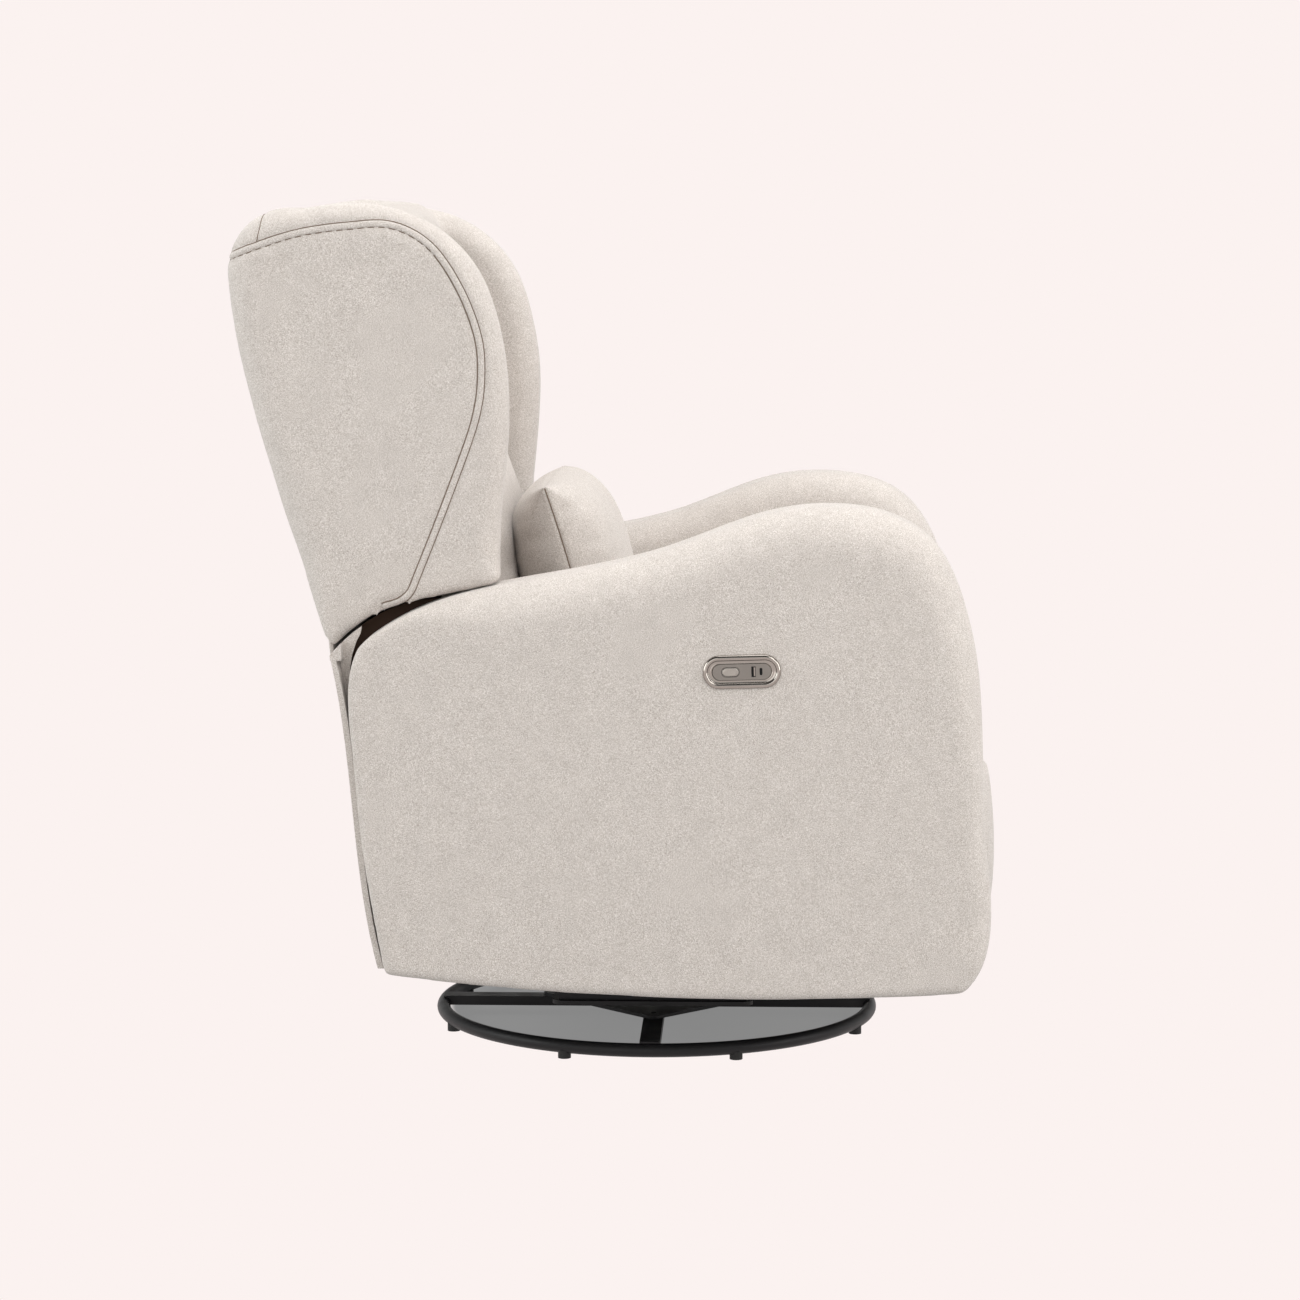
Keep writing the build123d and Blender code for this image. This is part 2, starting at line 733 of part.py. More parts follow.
# ---------------------------------------------------------------- lumbar pillow
seat_middle = (seat_front + seat_nose_radius + seat_rear) / 2
foot_share = (pillow_foot_y - seat_middle) / (seat_rear - seat_middle)
pillow_foot = (pillow_foot_y, seat_top - seat_crown * foot_share**2 + pillow_gap)
pillow_head = (pillow_foot[0] + pillow_lean, pillow_foot[1] + pillow_rise)
pillow_stations = ((1.0, 0.07), (0.895, 0.54), (0.673, 0.89), (0.0, 1.0))


def pillow_section(x, bulge):
    """Lens-shaped section of the pillow at x: half its thickness is bulge."""
    lean = Vector(pillow_head[0] - pillow_foot[0], pillow_head[1] - pillow_foot[1])
    middle = Vector(*pillow_foot) + lean * 0.42
    across = Vector(-lean.Y, lean.X).normalized()
    front = middle + across * bulge
    rear = middle - across * bulge * pillow_rear_share
    with BuildSketch(side_plane(x)) as section:
        with BuildLine():
            ThreePointArc(pillow_foot, (front.X, front.Y), pillow_head)
            ThreePointArc(pillow_head, (rear.X, rear.Y), pillow_foot)
        make_face()
    return section.sketch


with BuildPart() as pillow:
    for share, fullness in pillow_stations[:-1]:
        add(pillow_section(-share * pillow_half_width, fullness * pillow_thickness))
    for share, fullness in pillow_stations[::-1]:
        add(pillow_section(share * pillow_half_width, fullness * pillow_thickness))
    loft()
save(pillow.part, "lumbar_pillow")

# ---------------------------------------------------------------- footrest scissor
scissor_foot = Vector(scissor_y, scissor_z)
along = Vector(-cos(radians(scissor_tilt)), sin(radians(scissor_tilt)))
upward = Vector(sin(radians(scissor_tilt)), cos(radians(scissor_tilt)))
stage = scissor_length * cos(radians(scissor_folded))
rise = scissor_length * sin(radians(scissor_folded))


def scissor_point(stages, height):
    """Point of the folded scissor, in stages along its axis and a share of its height."""
    spot = scissor_foot + along * (stage * stages) + upward * (rise * height)
    return (spot.X, spot.Y)


b_inner = scissor_inner
a_inner = b_inner + scissor_link_thickness + side_gap
bracket_side = a_inner + scissor_link_thickness + side_gap


def scissor_link(inner, start, end, angle, holes):
    """A flat link between two of the scissor's points, with bores where holes says."""
    middle = ((start[0] + end[0]) / 2, (start[1] + end[1]) / 2)
    reach = (Vector(*end) - Vector(*start)).length
    with BuildPart() as link:
        with BuildSketch(side_plane(inner)):
            with Locations(middle):
                SlotCenterToCenter(reach, scissor_link_width, rotation=angle)
            with Locations(*holes):
                Circle(scissor_pin_diameter / 2 + running_clearance, mode=Mode.SUBTRACT)
        extrude(amount=scissor_link_thickness)
    return link.part


foot = scissor_point(0, 0)
slide_end = scissor_point(0, 1)
first_cross = scissor_point(0.5, 0.5)
knee_low = scissor_point(1, 0)
knee_high = scissor_point(1, 1)
second_cross = scissor_point(1.5, 0.5)
pad_end = scissor_point(2, 0)
a_angle = 180 - scissor_tilt - scissor_folded
b_angle = 180 - scissor_tilt + scissor_folded
for name, inner, start, end, angle, holes in (
    ("footrest_first_links", a_inner, foot, knee_high, a_angle, (foot, first_cross, knee_high)),
    ("footrest_second_links", b_inner, slide_end, knee_low, b_angle, (slide_end, first_cross, knee_low)),
    ("footrest_third_links", a_inner, knee_low, second_cross, a_angle, (knee_low, second_cross)),
    ("footrest_fourth_links", b_inner, knee_high, pad_end, b_angle, (knee_high, second_cross)),
):
    save(both_sides(scissor_link(inner, start, end, angle, holes)), name)


def scissor_pins(spots, start, end, headed=False):
    """Pins through the given points from x = start to x = end, with an outer head if headed."""
    with BuildPart() as pins:
        with BuildSketch(side_plane(start)):
            with Locations(*spots):
                Circle(scissor_pin_diameter / 2)
        extrude(amount=end - start)
        if headed:
            with BuildSketch(side_plane(end)):
                with Locations(*spots):
                    Circle(scissor_pin_head / 2)
            extrude(amount=pin_head_height)
    return pins.part


pin_start = b_inner + side_gap
a_outer = a_inner + scissor_link_thickness
bracket_outer_side = bracket_side + scissor_link_thickness
foot_pin = scissor_pins([foot], a_inner, bracket_outer_side + running_clearance, headed=True)
save(both_sides(foot_pin), "footrest_foot_pins")
save(both_sides(scissor_pins([first_cross, knee_high], pin_start, a_outer)), "footrest_first_pins")
with BuildPart() as second_pins:
    add(scissor_pins([slide_end], pin_start, bracket_outer_side + side_gap, headed=True))
    add(scissor_pins([knee_low], pin_start, a_outer))
save(both_sides(second_pins.part), "footrest_second_pins")
save(both_sides(scissor_pins([second_cross], pin_start, a_outer)), "footrest_third_pins")


def slot_spot(share):
    """Where the sliding pin stands when the scissor is a share of the way out."""
    opening = radians(scissor_folded + (scissor_extended - scissor_folded) * share)
    tilt = radians(scissor_tilt + (scissor_tilt_extended - scissor_tilt) * share)
    height = scissor_length * sin(opening)
    return (scissor_y + height * sin(tilt), scissor_z + height * cos(tilt))


slot_width = scissor_pin_diameter + 2 * side_gap
with BuildPart() as scissor_bracket:
    with BuildSketch(side_plane(bracket_side)):
        with BuildLine():
            Polyline(
                (scissor_y - 14, scissor_z - 12),
                (scissor_y - 4, scissor_z + 60),
                (scissor_y, scissor_z + 130),
                (scissor_y - 32, scissor_z + 186),
                (scissor_y - 32, seat_frame_bottom),
                (scissor_y + 30, seat_frame_bottom),
                (scissor_y + 40, scissor_z + 150),
                (scissor_y + 40, scissor_z + 90),
                (scissor_y + 26, scissor_z + 14),
                (scissor_y + 13, scissor_z - 12),
                close=True,
            )
        make_face()
        with Locations(foot):
            Circle(14)
            Circle(scissor_pin_diameter / 2 + running_clearance, mode=Mode.SUBTRACT)
        with BuildLine() as slot_line:
            Spline(*[slot_spot(step / 6) for step in range(7)])
        trace(slot_line.edges(), slot_width, mode=Mode.SUBTRACT)
        with Locations(slot_spot(0), slot_spot(1)):
            Circle(slot_width / 2, mode=Mode.SUBTRACT)
    extrude(amount=scissor_link_thickness)
save(both_sides(scissor_bracket.part), "footrest_brackets")

tube_spot = Vector(*slide_end) + (Vector(*knee_low) - Vector(*slide_end)) * 0.7
with BuildPart() as footrest_tube:
    with BuildSketch(side_plane(-b_inner)):
        with Locations((tube_spot.X, tube_spot.Y)):
            Circle(cross_tube_diameter / 2)
            Circle(cross_tube_diameter / 2 - 2, mode=Mode.SUBTRACT)
    extrude(amount=2 * b_inner)
save(footrest_tube.part, "footrest_cross_tube")

board_back = footrest_back + footrest_board_thickness
with BuildPart() as pad_bracket:
    with BuildSketch(side_plane(b_inner - scissor_link_thickness)):
        with BuildLine():
            Polyline(
                (board_back, pad_end[1] + 8),
                (pad_end[0] + 6, pad_end[1] - 4),
                (knee_high[0] - 2, knee_high[1] - 40),
                (board_back, knee_high[1] - 20),
                close=True,
            )
        make_face()
        with Locations((second_cross[0] - 12, second_cross[1] - 30)):
            Circle(4, mode=Mode.SUBTRACT)
        with Locations((second_cross[0] - 10, second_cross[1] + 30)):
            Circle(4, mode=Mode.SUBTRACT)
    extrude(amount=scissor_link_thickness)
save(both_sides(pad_bracket.part), "footrest_pad_brackets")

with BuildPart() as board:
    with BuildSketch(side_plane(-footrest_half_width + 6)):
        with Locations((board_back - footrest_board_thickness / 2, (footrest_bottom + footrest_top) / 2)):
            Rectangle(footrest_board_thickness, footrest_top - footrest_bottom - 12)
    extrude(amount=2 * footrest_half_width - 12)
save(board.part, "footrest_board")

pad_rim = (0.0, 3.0, 18.0)
pad_share = (0.0, 0.82, 1.0)


def pad_profile(x, inset):
    """Side section of the footrest pad at x, its front drawn back by inset."""
    front = footrest_front + footrest_bulge + inset
    rear = footrest_back - seat_gap
    low = footrest_bottom + inset * 0.5
    high = footrest_top - inset * 0.5
    with BuildSketch(side_plane(x)) as section:
        with BuildLine():
            Line((rear, low), (front + footrest_edge, low))
            ThreePointArc((front + footrest_edge, low), (front + 4, low + 4), (front, low + footrest_edge))
            ThreePointArc(
                (front, low + footrest_edge),
                (front - footrest_bulge, (low + high) / 2),
                (front, high - footrest_edge),
            )
            ThreePointArc(
                (front, high - footrest_edge),
                (front + 4, high - 4),
                (front + footrest_edge, high),
            )
            Line((front + footrest_edge, high), (rear, high))
            Line((rear, high), (rear, low))
        make_face()
    return section.sketch


with BuildPart() as footrest_pad:
    for share, inset in zip(pad_share[:0:-1], pad_rim[:0:-1]):
        add(pad_profile(-share * footrest_half_width, inset))
    for share, inset in zip(pad_share, pad_rim):
        add(pad_profile(share * footrest_half_width, inset))
    loft()
save(footrest_pad.part, "footrest_pad")

# ---------------------------------------------------------------- drive
rail_bottom = seat_frame_bottom - drive_rail_height
with BuildPart() as drive_rail:
    with BuildSketch(Plane((0, frame_middle, rail_bottom))):
        Rectangle(drive_rail_width, frame_depth)
    extrude(amount=drive_rail_height)
    screw_front = seat_frame_front + 60
    with BuildSketch(Plane((0, screw_front, screw_z - 12))):
        Rectangle(drive_rail_width, 12)
    extrude(amount=rail_bottom - screw_z + 12)
    with BuildSketch(Plane((0, screw_front - 6, screw_z), x_dir=(1, 0, 0), z_dir=(0, 1, 0))):
        Circle(screw_diameter / 2 + running_clearance)
    extrude(amount=12, mode=Mode.SUBTRACT)
save(drive_rail.part, "drive_rail")

gearbox_front = frame_depth / 2 + frame_middle - seat_end_rail_width - gearbox_size
with BuildPart() as gearbox:
    with BuildSketch(Plane((0, gearbox_front + gearbox_size / 2, rail_bottom - gearbox_size - 12))):
        RectangleRounded(gearbox_size, gearbox_size, 6)
    extrude(amount=gearbox_size + 12)
    fillet(gearbox.edges().group_by(Axis.Z)[0], 3)
save(gearbox.part, "gearbox")

with BuildPart() as screw:
    with BuildSketch(Plane((0, screw_front - 6, screw_z), x_dir=(1, 0, 0), z_dir=(0, 1, 0))):
        Circle(screw_diameter / 2)
    extrude(amount=gearbox_front - screw_front + 6)
save(screw.part, "drive_screw")

with BuildPart() as motor:
    with BuildSketch(side_plane(gearbox_size / 2)):
        with Locations((gearbox_front + gearbox_size / 2, screw_z)):
            Circle(motor_diameter / 2)
    extrude(amount=motor_length)
    with BuildSketch(side_plane(gearbox_size / 2 + motor_length)):
        with Locations((gearbox_front + gearbox_size / 2, screw_z)):
            Circle(motor_diameter * 0.3)
    extrude(amount=5)
    fillet(motor.edges().group_by(Axis.X)[-3], 3)
save(motor.part, "motor")

with BuildPart() as drive_block:
    with BuildSketch(Plane((0, drive_block_y, screw_z - 14))):
        RectangleRounded(drive_rail_width + 14, drive_block_length, 4)
    extrude(amount=rail_bottom - side_gap - screw_z + 14)
    bore_start = (0, drive_block_y - drive_block_length, screw_z)
    with BuildSketch(Plane(bore_start, x_dir=(1, 0, 0), z_dir=(0, 1, 0))):
        Circle(screw_diameter / 2 + running_clearance)
    extrude(amount=2 * drive_block_length, mode=Mode.SUBTRACT)
save(drive_block.part, "drive_block")

# ---------------------------------------------------------------- arm control
control_back = -arm_outer - seat_gap
control_plane = Plane((control_back, control_y, control_z), x_dir=(0, 1, 0), z_dir=(-1, 0, 0))
with BuildPart() as bezel:
    with BuildSketch(control_plane):
        SlotOverall(bezel_length, bezel_height)
        SlotOverall(
            insert_length + 2 * running_clearance,
            insert_height + 2 * running_clearance,
            mode=Mode.SUBTRACT,
        )
    extrude(amount=bezel_thickness)
    front_rims = bezel.edges().filter_by(lambda e: e.center().X < control_back - bezel_thickness + 0.1)
    fillet(front_rims.sort_by(SortBy.LENGTH)[-4:], 1.2)
save(bezel.part, "control_bezel")

rocker_gap = 0.8
lug_thickness = 1.6
trunnion_x = control_back + 2.2
window_height = rocker_height + 2 * side_gap
socket_hole = 2 * (socket_wall + running_clearance)
with BuildPart() as insert:
    with BuildSketch(control_plane):
        SlotOverall(insert_length, insert_height)
        with Locations((rocker_offset, 0)):
            Rectangle(rocker_width + 2 * rocker_gap, window_height, mode=Mode.SUBTRACT)
        for offset, width, height in (
            (usb_a_offset, usb_a_width, usb_a_height),
            (usb_c_offset, usb_c_width, usb_c_height),
        ):
            with Locations((offset, 0)):
                Rectangle(width + socket_hole, height + socket_hole, mode=Mode.SUBTRACT)
    extrude(amount=insert_thickness)
    for lift in (-1, 1):
        with BuildSketch(control_plane):
            with Locations((rocker_offset, lift * (window_height + lug_thickness) / 2)):
                Rectangle(6, lug_thickness)
        extrude(amount=-4.5)
    with BuildSketch(Plane((trunnion_x, control_y + rocker_offset, control_z - 10))):
        Circle(1.5 + running_clearance)
    extrude(amount=20, mode=Mode.SUBTRACT)
save(insert.part, "control_insert")

rocker_rear = control_back + 3
rocker_face = control_back - insert_thickness - 1.6
rocker_dish = 1.0
rocker_half = rocker_width / 2
with BuildPart() as rocker:
    with BuildSketch(Plane((0, control_y + rocker_offset, control_z - rocker_height / 2))):
        with BuildLine():
            Line((rocker_rear, -rocker_half), (rocker_rear, rocker_half))
            Line((rocker_rear, rocker_half), (rocker_face, rocker_half))
            ThreePointArc((rocker_face, rocker_half), (rocker_face + rocker_dish, 0), (rocker_face, -rocker_half))
            Line((rocker_face, -rocker_half), (rocker_rear, -rocker_half))
        make_face()
    extrude(amount=rocker_height)
    trunnion_foot = control_z - rocker_height / 2 - lug_thickness
    with BuildSketch(Plane((trunnion_x, control_y + rocker_offset, trunnion_foot))):
        Circle(1.5)
    extrude(amount=rocker_height + 2 * lug_thickness)
save(rocker.part, "rocker_switch")


def socket(offset, width, height, tongue):
    """A charging socket: a thin shell, closed behind, with a contact tongue inside."""
    mouth = control_plane.offset(insert_thickness)
    with BuildPart() as shell:
        with BuildSketch(mouth):
            with Locations((offset, 0)):
                Rectangle(width + 2 * socket_wall, height + 2 * socket_wall)
        extrude(amount=-socket_depth)
        with BuildSketch(mouth):
            with Locations((offset, 0)):
                Rectangle(width, height)
        extrude(amount=socket_wall + 0.4 - socket_depth, mode=Mode.SUBTRACT)
        with BuildSketch(mouth.offset(socket_wall + 0.4 - socket_depth)):
            with Locations((offset, 0)):
                Rectangle(tongue, height * 0.8)
        extrude(amount=socket_depth - 3)
    return shell.part


save(socket(usb_a_offset, usb_a_width, usb_a_height, tongue=1.8), "usb_a_socket")
save(socket(usb_c_offset, usb_c_width, usb_c_height, tongue=0.8), "usb_c_socket")
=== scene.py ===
"""Wing-back power glider chair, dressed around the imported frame: woven covers, flat welts,
stitching, nickel arm control and a black ring base on a pale floor."""

import json
import math

import bmesh
import bpy
import numpy as np
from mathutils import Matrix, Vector
from mathutils.bvhtree import BVHTree
from mathutils.kdtree import KDTree


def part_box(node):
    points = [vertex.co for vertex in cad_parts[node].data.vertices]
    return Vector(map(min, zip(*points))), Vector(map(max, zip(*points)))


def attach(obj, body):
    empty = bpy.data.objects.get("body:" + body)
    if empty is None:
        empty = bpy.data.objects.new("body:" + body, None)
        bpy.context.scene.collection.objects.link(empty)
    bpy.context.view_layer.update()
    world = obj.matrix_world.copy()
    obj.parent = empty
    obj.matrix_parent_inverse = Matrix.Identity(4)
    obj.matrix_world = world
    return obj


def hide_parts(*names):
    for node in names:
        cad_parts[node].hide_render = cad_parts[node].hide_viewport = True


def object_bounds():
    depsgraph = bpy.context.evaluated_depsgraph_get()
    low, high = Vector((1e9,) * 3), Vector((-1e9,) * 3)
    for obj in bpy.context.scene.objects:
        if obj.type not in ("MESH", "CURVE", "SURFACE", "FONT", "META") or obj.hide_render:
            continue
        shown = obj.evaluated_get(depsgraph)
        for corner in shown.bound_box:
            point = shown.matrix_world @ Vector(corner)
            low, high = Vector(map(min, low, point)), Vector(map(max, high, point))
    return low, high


bl_info = {
    "name": "Glider Chair Dresser",
    "version": (1, 0, 0),
    "blender": (4, 5, 0),
    "location": "View3D > Sidebar > Glider Chair",
    "description": "Builds the covers, trim, finishes and stage of a wing-back glider chair",
    "category": "Add Mesh",
}

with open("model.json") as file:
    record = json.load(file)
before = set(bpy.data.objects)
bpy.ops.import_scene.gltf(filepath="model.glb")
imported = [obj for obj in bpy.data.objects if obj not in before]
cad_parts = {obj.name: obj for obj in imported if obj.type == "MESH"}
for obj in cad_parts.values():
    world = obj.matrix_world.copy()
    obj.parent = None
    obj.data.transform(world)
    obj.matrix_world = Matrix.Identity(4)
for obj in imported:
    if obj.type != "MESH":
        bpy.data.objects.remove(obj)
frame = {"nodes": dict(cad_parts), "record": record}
cad_low, cad_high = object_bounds()

# Route of the wing's welt, as shares of the wing's box: back from its front edge, and up.
WELT_ROUTE = (
    (0.99, 0.88), (0.76, 0.93), (0.55, 0.95), (0.40, 0.95), (0.27, 0.905), (0.17, 0.815), (0.105, 0.71),
    (0.09, 0.62), (0.11, 0.52), (0.18, 0.39), (0.31, 0.18), (0.36, 0.115), (0.45, 0.09), (0.55, 0.07),
)


# ---------------------------------------------------------------- settings
def length_setting(name, description, default, low, high):
    """A length that the sidebar shows."""
    return bpy.props.FloatProperty(
        name=name, description=description, default=default, min=low, max=high, unit="LENGTH")


def colour_setting(name, description, default):
    """A colour that the sidebar shows."""
    return bpy.props.FloatVectorProperty(
        name=name, description=description, default=default, subtype="COLOR", size=3, min=0, max=1)


class ChairSizes(bpy.types.PropertyGroup):
    """Sizes of the covers and trim that a user would change."""

    arm_roll: length_setting("Arm roll", "Radius of the padded edge on top of each arm", 0.055, 0.01, 0.07)
    wing_roll: length_setting("Wing roll", "Radius of the padded edge round each wing", 0.030, 0.01, 0.035)
    back_round: length_setting("Back corner", "Radius of the back's rear corners", 0.034, 0.005, 0.035)
    welt_width: length_setting("Welt", "Width of the flat welt round the wing panels", 0.0078, 0.003, 0.012)
    stitch_length: length_setting("Stitch", "Length of one topstitch", 0.0082, 0.002, 0.02)
    voxel: length_setting("Mesh step", "Edge length of the padded covers' meshes", 0.006, 0.004, 0.012)


class ChairColours(bpy.types.PropertyGroup):
    """Colours of the finishes."""

    cover: colour_setting("Cover", "Base yarn of the oatmeal cloth", (0.560, 0.520, 0.486))
    cover_pale: colour_setting("Pale yarn", "Lighter yarn flecked through the cloth", (0.790, 0.752, 0.726))
    cover_deep: colour_setting("Deep yarn", "Darker yarn flecked through the cloth", (0.340, 0.296, 0.258))
    steel: colour_setting("Black coat", "Powder coat of the base", (0.006, 0.006, 0.007))
    nickel: colour_setting("Nickel", "Satin nickel of the arm control", (0.375, 0.345, 0.315))
    # Painted shadow: grey of the floor patch inside the ring base.
    shade: colour_setting("Floor below", "Floor inside the ring base", (0.50, 0.50, 0.50))
    floor: colour_setting("Floor", "Pale floor and backdrop", (0.965, 0.888, 0.871))


def sizes():
    """The size settings of the current scene."""
    return bpy.context.scene.glider_chair_sizes


def colours():
    """The colour settings of the current scene."""
    return bpy.context.scene.glider_chair_colours


# ---------------------------------------------------------------- mesh helpers
def add_object(name, mesh):
    """Links a mesh into the scene under a name."""
    piece = bpy.data.objects.new(name, mesh)
    bpy.context.scene.collection.objects.link(piece)
    return piece


def mesh_from(name, points, faces):
    """A mesh with outward normals from plain points and faces."""
    mesh = bpy.data.meshes.new(name)
    mesh.from_pydata([tuple(point) for point in points], [], faces)
    build = bmesh.new()
    build.from_mesh(mesh)
    bmesh.ops.remove_doubles(build, verts=build.verts, dist=1e-6)
    bmesh.ops.recalc_face_normals(build, faces=build.faces)
    build.to_mesh(mesh)
    build.free()
    return mesh


def reach_along(line):
    """Distance along a line to each of its points."""
    return np.concatenate([[0], np.cumsum(np.linalg.norm(np.diff(line, axis=0), axis=1))])


def along_line(line, places):
    """Points of a line at given distances along it."""
    reach = reach_along(line)
    return np.stack([np.interp(places, reach, line[:, axis]) for axis in range(line.shape[1])], axis=1)


def smooth_line(points, count):
    """Evenly spaced points on a Catmull-Rom curve through the given ones."""
    points = [np.array(point, float) for point in points]
    last = len(points) - 1
    fine = []
    for span in range(last):
        a, b, c, d = (points[min(max(span + step, 0), last)] for step in (-1, 0, 1, 2))
        for step in range(16):
            t = step / 16
            fine.append(0.5 * (2 * b + (c - a) * t + (2 * a - 5 * b + 4 * c - d) * t * t
                               + (3 * b - a - 3 * c + d) * t ** 3))
    fine = np.array(fine + [points[-1]])
    return along_line(fine, np.linspace(0, reach_along(fine)[-1], count))


def side_line(node, count):
    """Evenly spaced (y, z) points round a CAD node's section at its middle width."""
    low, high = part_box(node)
    middle = ((low[0] + high[0]) / 2, 0, 0)
    build = bmesh.new()
    build.from_mesh(frame["nodes"][node].data)
    bmesh.ops.remove_doubles(build, verts=build.verts, dist=2e-5)
    whole = build.verts[:] + build.edges[:] + build.faces[:]
    cut = bmesh.ops.bisect_plane(build, geom=whole, dist=1e-6, plane_co=middle, plane_no=(1, 0, 0))
    left = dict.fromkeys(part for part in cut["geom_cut"] if isinstance(part, bmesh.types.BMEdge))
    loops = []
    while left:
        edge = next(iter(left))
        spot = edge.verts[0]
        loop = []
        while edge is not None:
            loop.append((spot.co.y, spot.co.z))
            left.pop(edge, None)
            spot = edge.other_vert(spot)
            edge = next((other for other in spot.link_edges if other in left), None)
        loops.append(loop)
    build.free()
    ring = max(loops, key=lambda loop: np.ptp([y for y, _ in loop]))
    ring = np.array(ring + ring[:1])
    return along_line(ring, np.linspace(0, reach_along(ring)[-1], count + 1)[:-1])


def in_box(outline, node):
    """An outline given in shares of a node's box, in metres, as (y, z)."""
    low, high = (np.array(corner, float)[1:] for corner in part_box(node))
    return low + np.array(outline) * (high - low)


def box_shares(line, node):
    """How far back and how far up each (y, z) point lies in a node's box, as shares of it."""
    low, high = (np.array(corner, float)[1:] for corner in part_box(node))
    return ((line - low) / (high - low)).T


def ramp_up(value, start, width):
    """0 below start, 1 from start + width on, and a straight rise between."""
    return np.clip((value - start) / width, 0, 1)


def inward_normals(line):
    """Unit normals that point into a closed outline of (y, z) points."""
    ahead = np.roll(line, -1, axis=0) - np.roll(line, 1, axis=0)
    normal = np.stack([-ahead[:, 1], ahead[:, 0]], axis=1)
    normal /= np.linalg.norm(normal, axis=1)[:, None]
    area = np.sum(line[:, 0] * np.roll(line[:, 1], -1) - np.roll(line[:, 0], -1) * line[:, 1])
    return normal if area > 0 else -normal


def loft_faces(rings, count, closed=False, base=0):
    """Faces between rings of points, one after another; an open run of rings is capped at both ends."""
    faces = []
    for ring in range(rings if closed else rings - 1):
        here = base + ring * count
        after = base + (ring + 1) % rings * count
        for place in range(count):
            beside = (place + 1) % count
            faces.append((here + place, here + beside, after + beside, after + place))
    if not closed:
        last = base + (rings - 1) * count
        faces += [tuple(range(base, base + count)), tuple(range(last, last + count))]
    return faces


def loft(name, points, rings, closed=False):
    """A smooth body from rings that hold the same number of points."""
    piece = add_object(name, mesh_from(name, points, loft_faces(rings, len(points) // rings, closed)))
    shade_smooth(piece)
    return piece


def rolled_slab(name, line, inner_x, outer_x, inner_roll, outer_roll, steps=8):
    """A closed slab between two x faces, its rim rolled over by a radius that varies along it."""
    normal = inward_normals(line)
    way = 1 if outer_x > inner_x else -1
    rings = []
    for face_x, roll, sign, order in (
        (inner_x, inner_roll, way, range(steps, -1, -1)),
        (outer_x, outer_roll, -way, range(0, steps + 1)),
    ):
        for step in order:
            angle = math.pi / 2 * step / steps
            inset = roll * (1 - math.cos(angle))
            x = face_x + sign * roll * (1 - math.sin(angle))
            flat = line + normal * inset[:, None]
            rings.append(np.stack([x, flat[:, 0], flat[:, 1]], axis=1))
    faces = loft_faces(len(rings), len(line))
    return add_object(name, mesh_from(name, np.concatenate(rings), faces))


def bake(piece):
    """Replaces a piece's mesh by its evaluated one and drops its modifiers."""
    graph = bpy.context.evaluated_depsgraph_get()
    mesh = bpy.data.meshes.new_from_object(piece.evaluated_get(graph))
    piece.modifiers.clear()
    piece.data = mesh


def voxel_mesh(piece, step):
    """Meshes a closed piece anew in even steps, which also merges what overlaps in it."""
    remesh = piece.modifiers.new("Remesh", "REMESH")
    remesh.mode = "VOXEL"
    remesh.voxel_size = step
    bake(piece)


def read_points(mesh):
    """A mesh's vertices as an array."""
    points = np.empty(len(mesh.vertices) * 3)
    mesh.vertices.foreach_get("co", points)
    return points.reshape(-1, 3)


def write_points(mesh, points):
    """Moves a mesh's vertices to the rows of an array."""
    mesh.vertices.foreach_set("co", np.asarray(points, float).ravel())
    mesh.update()


def relax(piece, rounds):
    """Evens out a mesh: each vertex moves towards the middle of its neighbours, without shrinking."""
    mesh = piece.data
    edges = np.empty(len(mesh.edges) * 2, dtype=np.int64)
    mesh.edges.foreach_get("vertices", edges)
    edges = edges.reshape(-1, 2)
    points = read_points(mesh)
    share = np.bincount(edges.ravel(), minlength=len(points))[:, None].clip(1)
    for turn in range(rounds):
        factor = 0.6 if turn % 2 == 0 else -0.61
        total = np.zeros_like(points)
        for axis in range(3):
            total[:, axis] = (np.bincount(edges[:, 0], points[edges[:, 1], axis], len(points))
                              + np.bincount(edges[:, 1], points[edges[:, 0], axis], len(points)))
        points = points + (total / share - points) * factor
    write_points(mesh, points)


def ripple(points, scale, seed):
    """A smooth random height for each point, between about -1 and 1, fixed by its seed."""
    random = np.random.default_rng(seed)
    height = np.zeros(len(points))
    for _ in range(9):
        way = random.normal(size=3)
        way /= np.linalg.norm(way)
        pace = 2 * math.pi / (scale * random.uniform(0.6, 1.7))
        height += np.sin(points @ way * pace + random.uniform(0, 6.28))
    return height / 4


def vertex_normals(mesh):
    """A mesh's vertex normals as an array."""
    normals = np.empty(len(mesh.vertices) * 3)
    mesh.vertices.foreach_get("normal", normals)
    return normals.reshape(-1, 3)


def drape_uneven(piece, height, scale, seed):
    """Gives a taut cover the slight unevenness of cloth over foam."""
    points = read_points(piece.data)
    normals = vertex_normals(piece.data)
    write_points(piece.data, points + normals * (ripple(points, scale, seed) * height)[:, None])


def shade_smooth(piece):
    """Smooth shading on every face."""
    piece.data.polygons.foreach_set("use_smooth", [True] * len(piece.data.polygons))
    piece.data.update()


